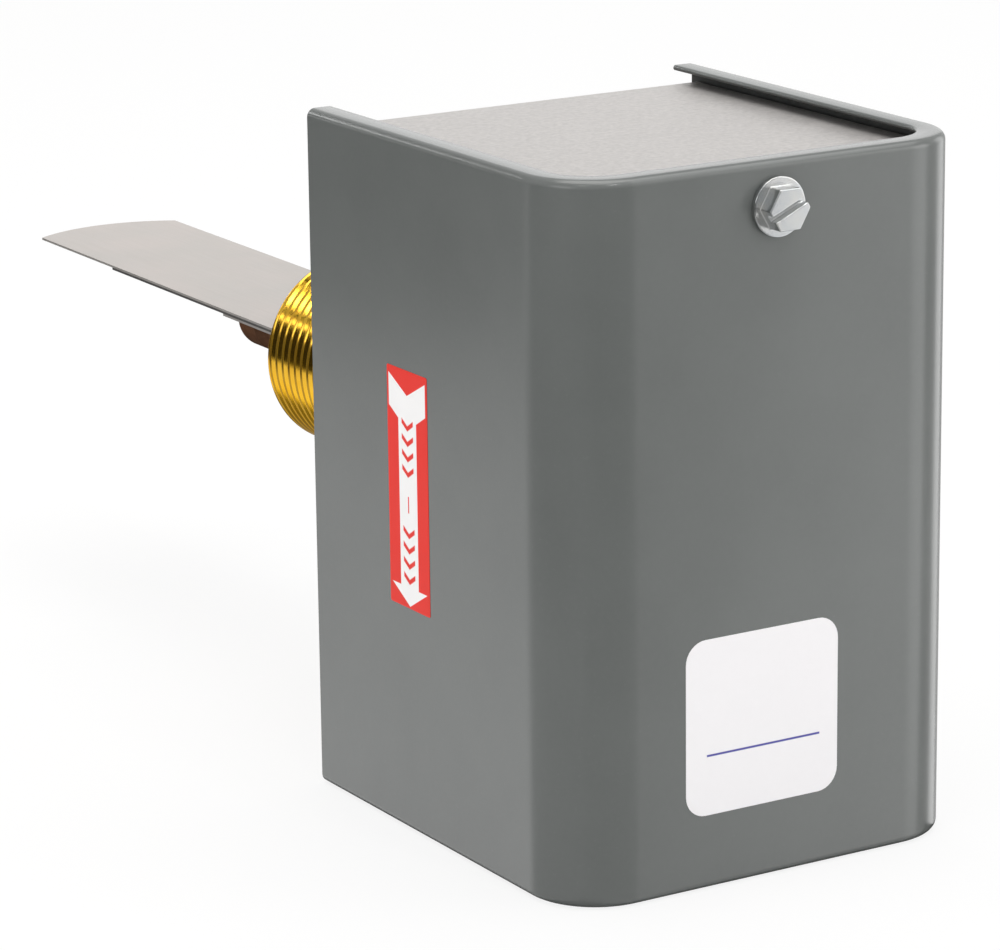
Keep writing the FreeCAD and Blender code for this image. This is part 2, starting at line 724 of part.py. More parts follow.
def make_switch_body():
    """Moulded block with a contact cavity, terminal bays and two screw posts."""
    body = centred(switch_width, (switch_front, switch_rear), (block_bottom, block_top))
    ribs = []
    for i in range(4):
        rib = centred(rib_thickness, (switch_front - rib_reach, switch_front),
                      (block_bottom, block_top), x=(i - 1.5) * bay_pitch)
        ribs.append(rounded(rib, rib_thickness / 3, ALONG_Z,
                            lambda p: near(p.y, switch_front - rib_reach)))
    body = rounded(body, switch_edge_r, ALONG_Z, lambda p: near(p.y, switch_rear))
    body = fused(body, *ribs)
    cavity = centred(switch_width - 2 * switch_side_wall, (cavity_front, cavity_rear),
                     (block_bottom + switch_floor, block_top + OVERCUT))
    body = body.cut(cavity)
    posts = [post(switch_post_r, (block_bottom, block_bottom + switch_floor + switch_post_height),
                  y=y) for y in switch_post_places()]
    body = fused(body, *posts)
    holes = []
    for y in switch_post_places():
        holes.append(post(small_screw_r + seated, (block_bottom - OVERCUT,
                                                   block_bottom + switch_post_height), y=y))
    for y in cover_screw_places():
        holes.append(post(small_screw_r + seated, (block_top - switch_post_height,
                                                   block_top + OVERCUT), y=y))
    for bay, level in zip((0, -1, 1), strip_levels()):
        holes.append(centred(strip_width + 2 * slot_play,
                             (switch_front - OVERCUT, cavity_front + OVERCUT),
                             (level - slot_play, level + strip_thickness + slot_play),
                             x=bay_x(bay)))
        holes.append(rod(small_screw_r + seated, (switch_front - OVERCUT,
                                                  switch_front + terminal_screw_length),
                         x=bay_x(bay), z=switch_top - terminal_screw_depth))
    return body.cut(holes)


def make_switch_cover():
    cover = centred(switch_width, (switch_front, switch_rear), (block_top, switch_top))
    cover = rounded(cover, switch_edge_r, ALONG_Z, lambda p: True)
    span = (block_top - OVERCUT, switch_top + OVERCUT)
    holes = [post(plunger_r + running, span, y=plunger_y)]
    holes += [post(small_screw_r + seated, span, y=y) for y in cover_screw_places()]
    return cover.cut(holes)


def upright_screws(places, seat, length, direction):
    """Round-head screws along Z; direction -1 points the head down."""
    screws = []
    for y in places:
        head_face = seat + direction * small_head_height
        head = post(small_head_r, sorted((seat, head_face)), y=y)
        rim = [e for e in head.Edges if near(e.CenterOfMass.z, head_face)]
        head = head.makeFillet(small_head_height / 2, rim)
        shank = post(small_screw_r, sorted((seat, seat - direction * length)), y=y)
        slot_floor = head_face - direction * screw_slot_depth * 2 / 3
        slot = centred(screw_slot_width, (y - 2 * small_head_r, y + 2 * small_head_r),
                       sorted((slot_floor, head_face + direction * OVERCUT)))
        screws.append(fused(shank, head).cut(slot))
    return Part.makeCompound(screws)


def make_switch_cover_screws():
    length = switch_cover_thickness + switch_post_height - 2 * slot_play
    return upright_screws(cover_screw_places(), switch_top, length, 1)


def make_switch_screws():
    length = bracket_sheet + switch_post_height - 2 * slot_play
    return upright_screws(switch_post_places(), shelf_underside, length, -1)


def terminal(bay, level, reach):
    """Wire plate on the block's front with a strip that runs back into the cavity."""
    x = bay_x(bay)
    middle = switch_top - terminal_screw_depth
    top = max(level + strip_thickness, middle + terminal_height / 3)
    plate = centred(terminal_width, (switch_front - terminal_plate, switch_front),
                    (top - terminal_height, top), x=x)
    plate = rounded(plate, terminal_width / 6, ALONG_Y, lambda p: near(p.z, top - terminal_height))
    strip = centred(strip_width, (switch_front, reach), (level, level + strip_thickness), x=x)
    hole = rod(small_screw_r + seated, (switch_front - OVERCUT - terminal_plate,
                                        switch_front + OVERCUT), x=x, z=middle)
    return fused(plate, strip).cut(hole)


def contact_terminal(bay, level, side):
    """Terminal whose strip turns in under or over the blade and ends in a contact."""
    reach = contact_y + contact_leg_width / 2
    leg = block(sorted((bay_x(bay) - bay * strip_width / 2, -bay * contact_leg_width / 2)),
                (reach - contact_leg_width, reach), (level, level + strip_thickness))
    face = level if side < 0 else level + strip_thickness
    button = post(contact_r, sorted((face, face + side * contact_height)), y=contact_y)
    return fused(terminal(bay, level, reach), leg, button)


def make_common_terminal():
    """Terminal that ends in a ledge and a lip, where the blade's edge hinges."""
    level = strip_levels()[0]
    lip_rear = blade_hinge_y - slot_play
    lip = centred(strip_width, (lip_rear - strip_thickness, lip_rear),
                  (level, blade_top + strip_thickness))
    return fused(terminal(0, level, blade_hinge_y + blade_ledge), lip)


def make_upper_contact():
    return contact_terminal(-1, strip_levels()[1], -1)


def make_lower_contact():
    return contact_terminal(1, strip_levels()[2], 1)


def make_terminal_screws():
    seat = switch_front - terminal_plate
    return Part.makeCompound([
        front_screw(small_screw_r, terminal_plate + terminal_screw_length - slot_play,
                    terminal_head_r, terminal_head_height, seat, bay_x(bay),
                    switch_top - terminal_screw_depth) for bay in (-1, 0, 1)])


def make_contact_blade():
    """Blade hinged on the common terminal, with a contact on each side of its free end."""
    underside = blade_top - blade_thickness
    blade = centred(blade_width, (blade_hinge_y, contact_y + contact_r), (underside, blade_top))
    contact = post(contact_r, (underside - contact_height, blade_top + contact_height),
                   y=contact_y)
    return fused(blade, contact)


def make_switch_plunger():
    """Domed push rod between the lever's foot and the blade."""
    top = -lever_foot_depth - touch_gap
    bottom = blade_top + touch_gap
    stem = post(plunger_r, (bottom, top), y=plunger_y)
    centres = (top - plunger_dome_r, bottom + plunger_dome_r)
    upper_dome = Part.makeSphere(plunger_dome_r, Vec(0, plunger_y, centres[0]))
    lower_dome = Part.makeSphere(plunger_dome_r, Vec(0, plunger_y, centres[1]))
    middle = post(plunger_dome_r, (centres[1], centres[0]), y=plunger_y)
    stem = stem.common(fused(upper_dome, middle, lower_dome))
    flange_top = block_top - plunger_rise - guide
    flange = post(plunger_flange_r, (flange_top - plunger_flange_thickness, flange_top),
                  y=plunger_y)
    return fused(stem, flange)


# ---- Export ------------------------------------------------------------------------------

PIECES = {
    "cover": make_cover,
    "cover_screw": make_cover_screw,
    "back_frame": make_back_frame,
    "brass_body": make_brass_body,
    "body_locknut": make_body_locknut,
    "pivot_pin": make_pivot_pin,
    "paddle_arm": make_paddle_arm,
    "bellows": make_bellows,
    "long_paddle": lambda: make_paddle(0),
    "medium_paddle": lambda: make_paddle(1),
    "short_paddle": lambda: make_paddle(2),
    "paddle_screws": make_paddle_screws,
    "main_lever": make_main_lever,
    "lever_washer": make_lever_washer,
    "lever_nut": make_lever_nut,
    "spring_stud": make_spring_stud,
    "range_spring": make_range_spring,
    "spring_nut": make_spring_nut,
    "range_screw": make_range_screw,
    "screw_clip": make_screw_clip,
    "mechanism_bracket": make_mechanism_bracket,
    "bracket_screws": make_bracket_screws,
    "ground_screw": make_ground_screw,
    "switch_body": make_switch_body,
    "switch_cover": make_switch_cover,
    "switch_cover_screws": make_switch_cover_screws,
    "switch_screws": make_switch_screws,
    "common_terminal": make_common_terminal,
    "upper_contact": make_upper_contact,
    "lower_contact": make_lower_contact,
    "terminal_screws": make_terminal_screws,
    "contact_blade": make_contact_blade,
    "switch_plunger": make_switch_plunger,
}


def main():
    os.makedirs("parts", exist_ok=True)
    for name, make in PIECES.items():
        make().exportStep(f"parts/{name}.step")


main()
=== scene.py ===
"""Paddle flow switch: painted cover, brass pipe body, labels, springs and metal finishes.

Everything is in metres on the frame's axes: +Y runs out of the case into the pipe, +Z is
up and +X is to the right of someone facing the cover.
"""
import math
from functools import reduce

import bmesh
import bpy
import numpy as np
from bpy.props import FloatProperty, FloatVectorProperty, IntProperty, PointerProperty
from mathutils import Matrix, Vector


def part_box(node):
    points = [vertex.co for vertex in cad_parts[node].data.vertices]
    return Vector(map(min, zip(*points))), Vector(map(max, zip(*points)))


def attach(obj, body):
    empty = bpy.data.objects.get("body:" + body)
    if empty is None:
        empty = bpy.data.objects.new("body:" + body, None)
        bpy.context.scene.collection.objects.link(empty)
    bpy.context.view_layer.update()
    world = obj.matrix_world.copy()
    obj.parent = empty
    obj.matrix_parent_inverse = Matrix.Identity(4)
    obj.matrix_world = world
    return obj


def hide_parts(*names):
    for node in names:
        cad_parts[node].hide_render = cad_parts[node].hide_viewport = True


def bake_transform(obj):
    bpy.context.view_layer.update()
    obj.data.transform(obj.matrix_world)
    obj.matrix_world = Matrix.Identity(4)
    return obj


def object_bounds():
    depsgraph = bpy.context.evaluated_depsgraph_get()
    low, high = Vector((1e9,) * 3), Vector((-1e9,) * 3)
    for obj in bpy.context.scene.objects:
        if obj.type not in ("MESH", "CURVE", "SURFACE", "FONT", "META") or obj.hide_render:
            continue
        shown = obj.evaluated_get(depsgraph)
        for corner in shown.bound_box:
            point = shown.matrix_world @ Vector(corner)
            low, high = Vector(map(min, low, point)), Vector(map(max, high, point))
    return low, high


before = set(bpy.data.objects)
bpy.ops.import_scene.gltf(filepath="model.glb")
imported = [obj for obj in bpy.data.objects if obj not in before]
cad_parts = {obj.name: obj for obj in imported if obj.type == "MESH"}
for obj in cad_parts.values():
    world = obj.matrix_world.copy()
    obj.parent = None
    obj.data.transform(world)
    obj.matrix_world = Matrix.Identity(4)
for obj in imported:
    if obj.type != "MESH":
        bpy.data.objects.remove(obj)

bl_info = {
    "name": "Paddle flow switch",
    "version": (1, 0, 0),
    "blender": (4, 5, 0),
    "location": "View3D > Sidebar > Flow switch",
    "description": "Finishes, surfaces and stage for a paddle flow switch",
    "category": "Object",
}

MM = 0.001
CAD_BOX = [list(corner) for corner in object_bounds()]


# ---- Surfaces ----


def closed_mesh(points, wrap_v=False):
    """Closed mesh of a grid of points whose first direction runs round a loop.

    Face (i, j) joins points (i, j), (i+1, j), (i+1, j+1) and (i, j+1). The first index
    wraps. The second wraps too, or each of its two ends is closed by one flat face. Where
    the enclosed volume comes out negative, every face is reversed.
    """
    around, along, _ = points.shape
    index = np.arange(around * along).reshape(around, along)
    if wrap_v:
        index = np.concatenate([index, index[:, :1]], axis=1)
    ahead = np.roll(index, -1, axis=0)
    quads = np.stack([index[:, :-1], ahead[:, :-1], ahead[:, 1:], index[:, 1:]], axis=-1)
    faces = quads.reshape(-1, 4)
    corners = points.reshape(-1, 3)
    a, b, c, d = (corners[faces[:, k]] for k in range(4))
    volume = np.einsum("ij,ij->", a, np.cross(b - a, c - a) + np.cross(c - a, d - a))
    caps = [] if wrap_v else [index[::-1, 0].tolist(), index[:, -1].tolist()]
    for cap in caps:
        ring = corners[cap]
        volume += np.cross(ring, np.roll(ring, -1, axis=0)).sum(axis=0) @ ring.mean(axis=0)
    if volume < 0:
        faces, caps = faces[:, ::-1], [cap[::-1] for cap in caps]
    mesh = bpy.data.meshes.new("surface")
    mesh.from_pydata(corners.tolist(), [], faces.tolist() + caps)
    mesh.validate()
    return mesh


def shaded(mesh, crease=32.0):
    """Smooth shading, with edges sharper than the crease angle kept crisp."""
    mesh.shade_smooth()
    mesh.set_sharp_from_angle(angle=math.radians(crease))
    return mesh


def arc(centre, radius, start, end, steps):
    """Points (centre + radius * (cos, sin)) from one angle to another, in degrees."""
    angle = np.radians(np.linspace(start, end, steps))
    return np.stack([centre[0] + radius * np.cos(angle), centre[1] + radius * np.sin(angle)], -1)


def lipped_section(low, high, sheet, lip, bend):
    """Section of the cover's sheet as (depth in from the outer face, height) points.

    Two walls of an open C: straight runs joined by quarter circles of radius bend outside
    and bend - sheet inside, with the lips' cut edges rounded by half circles.
    """
    inner = bend - sheet
    edge = sheet / 2
    return np.concatenate([
        arc((bend, low + bend), bend, 270, 180, 9),
        arc((bend, high - bend), bend, 180, 90, 9),
        arc((lip - edge, high - edge), edge, 90, -90, 7),
        arc((bend, high - bend), inner, 90, 180, 7),
        arc((bend, low + bend), inner, 180, 270, 7),
        arc((lip - edge, low + edge), edge, 90, -90, 7),
    ])


def case_path(half_width, front, rear, corner, steps=20):
    """Path round the case's left, front and right faces, with its inward normals.

    Straight, quarter circle of radius corner, straight, quarter circle, straight. The
    normal at each point is at right angles to the path, towards the case's middle. One more
    point lies just off each quarter circle, so that smooth shading leaves the flats flat.
    """
    near = 0.6 * MM
    left = arc((corner - half_width, front + corner), corner, 180, 270, steps)
    right = arc((half_width - corner, front + corner), corner, 270, 360, steps)
    points = np.concatenate([
        [[-half_width, rear], [-half_width, front + corner + near]], left,
        [[corner - half_width + near, front], [half_width - corner - near, front]], right,
        [[half_width, front + corner + near], [half_width, rear]],
    ])
    normals = np.concatenate([
        [[1, 0], [1, 0]], -arc((0, 0), 1, 180, 270, steps), [[0, 1], [0, 1]],
        -arc((0, 0), 1, 270, 360, steps), [[-1, 0], [-1, 0]],
    ])
    return points, normals


def carried(section, path, normals):
    """Grid of a (depth, height) section carried along a level path.

    Point (i, j) is path point j, moved by the section's depth i along the path's inward
    normal and raised to its height i.
    """
    level = path[None, :, :] + section[:, None, :1] * normals[None, :, :]
    height = np.broadcast_to(section[:, None, 1:], (len(section), len(path), 1))
    return np.concatenate([level, height], axis=-1)


def turned_grid(rings, angles):
    """Grid round the pipe axis from (y, radius) lists, a radius or a row of them per y.

    Point (i, j) is (radius cos(angle), y, radius sin(angle)).
    """
    y, radius = (np.concatenate([
        np.broadcast_to(np.reshape(ring[k], (len(ring[0]), -1)), (len(ring[0]), len(angles)))
        for ring in rings]) for k in (0, 1))
    grid = np.stack([radius * np.cos(angles), y, radius * np.sin(angles)], axis=-1)
    return np.swapaxes(grid, 0, 1)


def thread_radius(y, angles, crest, pitch, height, flat=0.1):
    """Radius of a right-hand thread: crest less a wave of the helix's phase.

    The phase is y / pitch + angle / turn. Past the flat share of the pitch that is left at
    the crest, the radius falls evenly to the root half-way between two crests.
    """
    phase = y[:, None] / pitch + angles[None, :] / math.tau
    away = 2 * np.abs(phase - np.round(phase))
    return crest - height * np.clip((away - flat) / (1 - flat), 0, 1)


def hexagon_radius(angles, flats, blunt):
    """Radius of a hexagon with a flat at the top, its corners cut back to a blunt radius."""
    local = np.mod(angles, math.pi / 3) - math.pi / 6
    return np.minimum(flats / 2 / np.cos(local), blunt)


def wire_grid(line, radius, sides=12):
    """Grid of a round wire along a line of points.

    Each section is a circle in the plane of the normal and binormal. The normal points
    away from the helix's axis, which is parallel to Y, and the binormal is their cross
    product with the line's own direction.
    """
    along = np.gradient(line, axis=0)
    along /= np.linalg.norm(along, axis=1, keepdims=True)
    outward = line - line.mean(axis=0)
    outward[:, 1] = 0
    outward -= (outward * along).sum(axis=1, keepdims=True) * along
    outward /= np.linalg.norm(outward, axis=1, keepdims=True)
    side = np.cross(along, outward)
    angle = np.linspace(0, math.tau, sides, endpoint=False)[:, None, None]
    return line[None] + radius * (np.cos(angle) * outward[None] + np.sin(angle) * side[None])


def label_grid(width, height, corner, thick, soft=0.04 * MM):
    """Grid of a thin rounded rectangle: outline rings from its back to its inset face.

    The outline is four quarter circles of radius corner. The rings are (inset, depth):
    back, edge and face, with the edge softened.
    """
    steps = 9
    x, y = width / 2 - corner, height / 2 - corner
    middles = [(x, y), (-x, y), (-x, -y), (x, -y)]
    outline = np.concatenate([arc(middle, corner, 90 * k, 90 * k + 90, steps)
                              for k, middle in enumerate(middles)])
    outwards = (outline - np.repeat(middles, steps, axis=0)) / corner
    rings = np.array([[0, 0], [0, thick - soft / 2], [soft, thick]])
    flat = outline[:, None, :] - outwards[:, None, :] * rings[None, :, :1]
    depth = np.broadcast_to(rings[None, :, 1:], (len(outline), 3, 1))
    return np.concatenate([flat, depth], axis=-1)


# ---- Pieces ----


def linked(name, data):
    """New object of its data, in the scene."""
    made = bpy.data.objects.new(name, data)
    bpy.context.scene.collection.objects.link(made)
    return made


def stage_quad(name, corners, material):
    """Flat four-cornered surface of the stage, which isn't part of the object."""
    mesh = bpy.data.meshes.new(name)
    mesh.from_pydata([tuple(corner) for corner in corners], [], [(0, 1, 2, 3)])
    mesh.materials.append(material)
    quad = linked(name, mesh)
    return quad


def add_piece(mesh, name, body, material, stands_for=()):
    """Link a finished mesh as a piece that rides on a body, or on none."""
    piece = linked(name, mesh)
    mesh.name = name
    mesh.materials.clear()
    mesh.materials.append(material)
    if body:
        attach(piece, body)
    if stands_for:
        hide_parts(*stands_for)
    return piece


def coat(material, *nodes):
    """Give frame nodes their finish."""
    for node in nodes:
        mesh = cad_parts[node].data
        mesh.materials.clear()
        mesh.materials.append(material)


def eased(node, name, body, material, ease, crease=28.0):
    """Copy of a frame node, merged and with its sharp edges eased by a Bevel modifier."""
    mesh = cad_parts[node].data.copy()
    work = bmesh.new()
    work.from_mesh(mesh)
    bmesh.ops.remove_doubles(work, verts=work.verts, dist=0.002 * MM)
    bmesh.ops.dissolve_limit(work, angle_limit=math.radians(0.4), verts=work.verts,
                             edges=work.edges)
    work.to_mesh(mesh)
    work.free()
    shaded(mesh, crease)
    piece = add_piece(mesh, name, body, material, (node,))
    bevel = piece.modifiers.new("Eased edges", "BEVEL")
    bevel.width = ease
    bevel.segments = 2
    bevel.limit_method = "ANGLE"
    bevel.angle_limit = math.radians(crease)
    bevel.harden_normals = True
    return piece


# ---- Finishes ----


class Signal:
    """A socket in a node tree. Arithmetic on it adds Math nodes."""

    def __init__(self, nodes, socket):
        self.nodes = nodes
        self.socket = socket

    def math(self, operation, *others):
        return self.nodes.node("ShaderNodeMath", {"operation": operation},
                               dict(enumerate((self,) + others)))

    def __add__(self, other):
        return self.math("ADD", other)

    __radd__ = __add__

    def __mul__(self, other):
        return self.math("MULTIPLY", other)

    __rmul__ = __mul__

    def __sub__(self, other):
        return self.math("SUBTRACT", other)

    def __rsub__(self, other):
        return (self * -1.0) + other

    def __truediv__(self, other):
        return self.math("DIVIDE", other)

    def __abs__(self):
        return self.math("ABSOLUTE")

    def least(self, *others):
        return reduce(lambda result, other: result.math("MINIMUM", other), others, self)

    def most(self, *others):
        return reduce(lambda result, other: result.math("MAXIMUM", other), others, self)

    def clipped(self):
        return self.least(1.0).most(0.0)


class Nodes:
    """Node tree of a material or the world, being filled."""

    def __init__(self, holder):
        holder.use_nodes = True
        self.tree = holder.node_tree
        self.tree.nodes.clear()

    def node(self, kind, settings, sockets, out=0):
        """Add a node: its settings first, then the values or links of its sockets.

        Gives one of its outputs as a Signal, or the node itself where it has none.
        """
        made = self.tree.nodes.new(kind)
        for name, value in settings.items():
            setattr(made, name, value)
        for name, value in sockets.items():
            self.feed(made.inputs[name], value)
        return Signal(self, made.outputs[out]) if made.outputs else made

    def feed(self, socket, value):
        if isinstance(value, Signal):
            self.tree.links.new(value.socket, socket)
        elif hasattr(value, "__len__") and socket.type == "RGBA":
            socket.default_value = (*value[:3], 1.0)
        else:
            socket.default_value = value

    def span(self, value, low, high, bottom=0.0, top=1.0):
        """Value between low and high carried to bottom and top, and held outside them."""
        return self.node("ShaderNodeMapRange", {}, {
            "Value": value, "From Min": low, "From Max": high, "To Min": bottom,
            "To Max": top})


class Finish(Nodes):
    """A material being made, round one Principled shader."""

    def __init__(self, name, **surface):
        self.material = bpy.data.materials.new(name)
        super().__init__(self.material)
        shader = self.node("ShaderNodeBsdfPrincipled", {}, {})
        self.shader = shader.socket.node
        self.output = self.node("ShaderNodeOutputMaterial", {}, {"Surface": shader})
        self.set(**surface)

    def set(self, **surface):
        """Feed the Principled shader's sockets, named with underscores for spaces."""
        for name, value in surface.items():
            self.feed(self.shader.inputs[name.replace("_", " ")], value)

    def place(self, centre=(0, 0, 0), stretch=(1, 1, 1)):
        """Object coordinates about a centre, stretched along the axes."""
        where = self.node("ShaderNodeTexCoord", {}, {}, "Object")
        shift = tuple(-c * s for c, s in zip(centre, stretch))
        return self.node("ShaderNodeMapping", {}, {
            "Vector": where, "Location": shift, "Scale": stretch})

    def axes(self, vector):
        split = self.node("ShaderNodeSeparateXYZ", {}, {"Vector": vector}).socket.node
        return [Signal(self, socket) for socket in split.outputs]

    def noise(self, vector, scale, detail=2.0, rough=0.5, warp=0.0):
        return self.node("ShaderNodeTexNoise", {}, {
            "Vector": vector, "Scale": scale, "Detail": detail, "Roughness": rough,
            "Distortion": warp})

    def blend(self, factor, first, second):
        """Mix of two colours."""
        return self.node("ShaderNodeMix", {"data_type": "RGBA"},
                         {0: factor, 6: first, 7: second}, 2)

    def relief(self, height, depth, strength=1.0, ease=0.0):
        """Normal from a height, over edges rounded by ease."""
        sockets = {"Height": height, "Distance": depth, "Strength": strength}
        if ease:
            sockets["Normal"] = self.node("ShaderNodeBevel", {"samples": 4}, {"Radius": ease})
        return self.node("ShaderNodeBump", {}, sockets)


def tone(colour, *factors):
    """A colour made lighter or darker, by one factor or by one for each channel."""
    return tuple(np.minimum(1.0, np.multiply(colour, factors)))


def painted_steel(name, colour, low, high, corner, sheet):
    """Semi-gloss paint: orange peel, slight cloudiness, a fine grain and light specks.

    Deeper in than the sheet's middle, on the cover's inner faces, the paint's colour is
    darkened as painted shade. The depth in from the case's rounded outline is the corner
    radius, less the distance outside the corner's two centre lines, plus the depth inside the
    nearer one of them.
    """
    finish = Finish(name, IOR=1.58)
    where = finish.place()
    x, y, z = finish.axes(where)
    beside, ahead = abs(x) - (high[0] - corner), (low[1] + corner) - y
    round_in, front_in = beside.most(0.0), ahead.most(0.0)
    outside = (round_in * round_in + front_in * front_in).math("SQRT")
    depth = (corner - outside) - beside.most(ahead).least(0.0)
    depth = depth.least(z - low[2], high[2] - z)
    painted_inside_shade = finish.span(depth, sheet * 0.5, sheet * 0.56)
    cloud = finish.noise(where, 38.0, 3.0)
    peel = finish.noise(where, 420.0, 1.0)
    grain = finish.noise(where, 1100.0, 1.0)
    speck = finish.span(finish.noise(where, 1400.0, 2.0), 0.66, 0.72)
    shade = finish.blend(finish.span(cloud, 0.35, 0.65),
                         tone(colour, 0.95), tone(colour, 1.05))
    shade = finish.blend(speck * 0.12 + grain * 0.12, shade, tone(colour, 1.35))
    # The cover's inner faces are given a dark colour as painted shade.
    shade = finish.blend(painted_inside_shade, shade, tone(colour, 0.30))
    finish.set(Base_Color=shade,
               Roughness=0.205 + cloud * 0.05 + grain * 0.015,
               Normal=finish.relief(peel, 0.010 * MM, 0.4))
    return finish.material


def galvanised_sheet(name, colour):
    """Zinc-coated sheet: soft spangle, fine grain and faint rolling lines along X."""
    finish = Finish(name, Metallic=0.82)
    where = finish.place()
    crystal = finish.node("ShaderNodeTexVoronoi", {"feature": "SMOOTH_F1"},
                          {"Vector": where, "Scale": 700.0, "Smoothness": 0.35}, "Color")
    cell = finish.axes(crystal)[0]
    grain = finish.noise(where, 1500.0, 3.0)
    rolled = finish.noise(finish.place(stretch=(40.0, 1600.0, 1600.0)), 1.0, 2.0)
    mottle = finish.noise(where, 1000.0, 3.0, 0.7)
    fleck = finish.span(mottle, 0.36, 0.64)
    shade = finish.blend(cell * 0.3 + fleck * 0.7, tone(colour, 0.88), tone(colour, 1.11))
    finish.set(Base_Color=shade,
               Roughness=0.44 + cell * 0.04 + grain * 0.08,
               Normal=finish.relief(grain * 0.6 + rolled * 0.4, 0.006 * MM, 0.6, 0.15 * MM))
    return finish.material


def zinc_plating(name, colour, dull=0.0, thread=None):
    """Bright zinc plate over turned or pressed steel, a little bluer in patches.

    A thread is (x, z, pitch, start, end): its axis is parallel to Y, and its height is
    the wave of the phase y / pitch + angle / turn, between its start and end.
    """
    finish = Finish(name, Metallic=1.0)
    where = finish.place()
    cloud = finish.noise(where, 420.0, 3.0)
    grain = finish.noise(where, 2600.0, 2.0)
    shade = finish.blend(finish.span(cloud, 0.3, 0.7),
                         tone(colour, 0.90, 0.93, 0.97), colour)
    normal = finish.relief(grain, 0.004 * MM, 0.5, 0.12 * MM)
    if thread:
        axis_x, axis_z, pitch, start, end = thread
        x, y, z = finish.axes(where)
        turn = (z - axis_z).math("ARCTAN2", x - axis_x) * (1 / math.tau)
        phase = y * (1 / pitch) + turn
        wave = 1.0 - abs(phase - phase.math("ROUND")) * 2.0
        cut = finish.span((y - start).least(end - y), 0.0, 0.2 * MM)
        normal = finish.node("ShaderNodeBump", {}, {
            "Height": wave * cut, "Distance": 0.4 * pitch, "Strength": 1.0, "Normal": normal})
    finish.set(Base_Color=shade,
               Roughness=0.16 + dull + cloud * 0.10,
               Normal=normal)
    return finish.material


def machined_brass(name, colour, polish=0.08):
    """Turned brass: tool marks round the pipe axis, with warmer, duller patches.

    The marks are noise read at (radius, y), so that they run round the axis on the
    cylinders and stay circles on the faces.
    """
    finish = Finish(name, Metallic=1.0, Specular_Tint=(1.0, 0.80, 0.36))
    where = finish.place()
    x, y, z = finish.axes(where)
    radius = (x * x + z * z).math("SQRT")
    lathe = finish.node("ShaderNodeCombineXYZ", {}, {"X": radius * 9000.0, "Y": y * 9000.0,
                                                     "Z": 0.0})
    marks = finish.noise(lathe, 1.0, 2.0)
    patch = finish.noise(where, 160.0, 4.0, 0.6)
    shade = finish.blend(finish.span(patch, 0.35, 0.68), colour,
                         tone(colour, 0.90, 0.82, 0.70))
    finish.set(Base_Color=shade,
               Roughness=polish + patch * 0.08 + marks * 0.03,
               Normal=finish.relief(marks, 0.004 * MM, 0.5))
    return finish.material


def dull_bronze(name, colour, rough=0.42):
    """Bronze with a mottled skin; the arm's dark colour is painted shade."""
    finish = Finish(name, Metallic=0.85, Specular_Tint=(0.60, 0.45, 0.38))
    where = finish.place()
    patch = finish.noise(where, 260.0, 5.0, 0.62)
    grain = finish.noise(where, 2100.0, 2.0)
    shade = finish.blend(finish.span(patch, 0.35, 0.65), tone(colour, 0.72),
                         tone(colour, 1.35))
    finish.set(Base_Color=shade,
               Roughness=rough + patch * 0.2,
               Normal=finish.relief(patch * 0.5 + grain * 0.5, 0.02 * MM, 0.6, 0.1 * MM))
    return finish.material


def shim_steel(name, colour, width, edge=1.0):
    """Cold-rolled shim: fine lines along the paddle and handling marks.

    The two long edges lie half the width from the middle, and their colour is the
    face's made darker by edge, as painted shade along them.
    """
    finish = Finish(name, Metallic=0.75)
    where = finish.place()
    x, _, _ = finish.axes(where)
    painted_edge_shade = finish.span(abs(x), width / 2 - 0.06 * MM, width / 2 - 0.02 * MM)
    lines = finish.noise(finish.place(stretch=(2600.0, 60.0, 2600.0)), 1.0, 3.0)
    cloud = finish.noise(where, 55.0, 3.0)
    fine = finish.noise(where, 1800.0, 2.0)
    shade = finish.blend(finish.span(cloud, 0.35, 0.65), tone(colour, 0.97),
                         tone(colour, 1.04, 1.01, 1.01))
    finish.set(Base_Color=finish.blend(painted_edge_shade, shade, tone(colour, edge)),
               Roughness=0.34 + lines * 0.12 + fine * 0.06,
               Normal=finish.relief(lines, 0.003 * MM, 0.5))
    return finish.material


def drawn_wire(name, colour):
    """Drawn spring wire with a slight oil-dark cast."""
    finish = Finish(name, Metallic=1.0)
    where = finish.place()
    stain = finish.noise(where, 300.0, 3.0)
    scratch = finish.noise(where, 3000.0, 3.0)
    finish.set(Base_Color=finish.blend(stain, tone(colour, 0.8), tone(colour, 1.15)),
               Roughness=0.28 + stain * 0.12,
               Normal=finish.relief(scratch, 0.004 * MM, 0.6))
    return finish.material


def moulding(name, colour):
    """Moulded phenolic: fine flow mottle and a soft sheen."""
    finish = Finish(name, IOR=1.52)
    where = finish.place()
    flow = finish.noise(where, 240.0, 4.0, 0.6, 0.6)
    grain = finish.noise(where, 2400.0, 2.0)
    finish.set(Base_Color=finish.blend(flow, tone(colour, 0.75), tone(colour, 1.3)),
               Roughness=0.34 + flow * 0.16,
               Normal=finish.relief(grain * 0.6 + flow * 0.4, 0.012 * MM, 0.5, 0.15 * MM))
    return finish.material


def laminate(name, colour):
    """Paper laminate: crossed fibres with darker flecks."""
    finish = Finish(name, IOR=1.5)
    weft = finish.noise(finish.place(stretch=(300.0, 3000.0, 900.0)), 1.0, 3.0)
    warp = finish.noise(finish.place(stretch=(3000.0, 300.0, 900.0)), 1.0, 3.0)
    weave = weft * 0.5 + warp * 0.5
    finish.set(Base_Color=finish.blend(finish.span(weave, 0.35, 0.65),
                                       tone(colour, 0.7), tone(colour, 1.3)),
               Roughness=0.42 + weave * 0.2,
               Normal=finish.relief(weave, 0.02 * MM, 0.5, 0.1 * MM))
    return finish.material


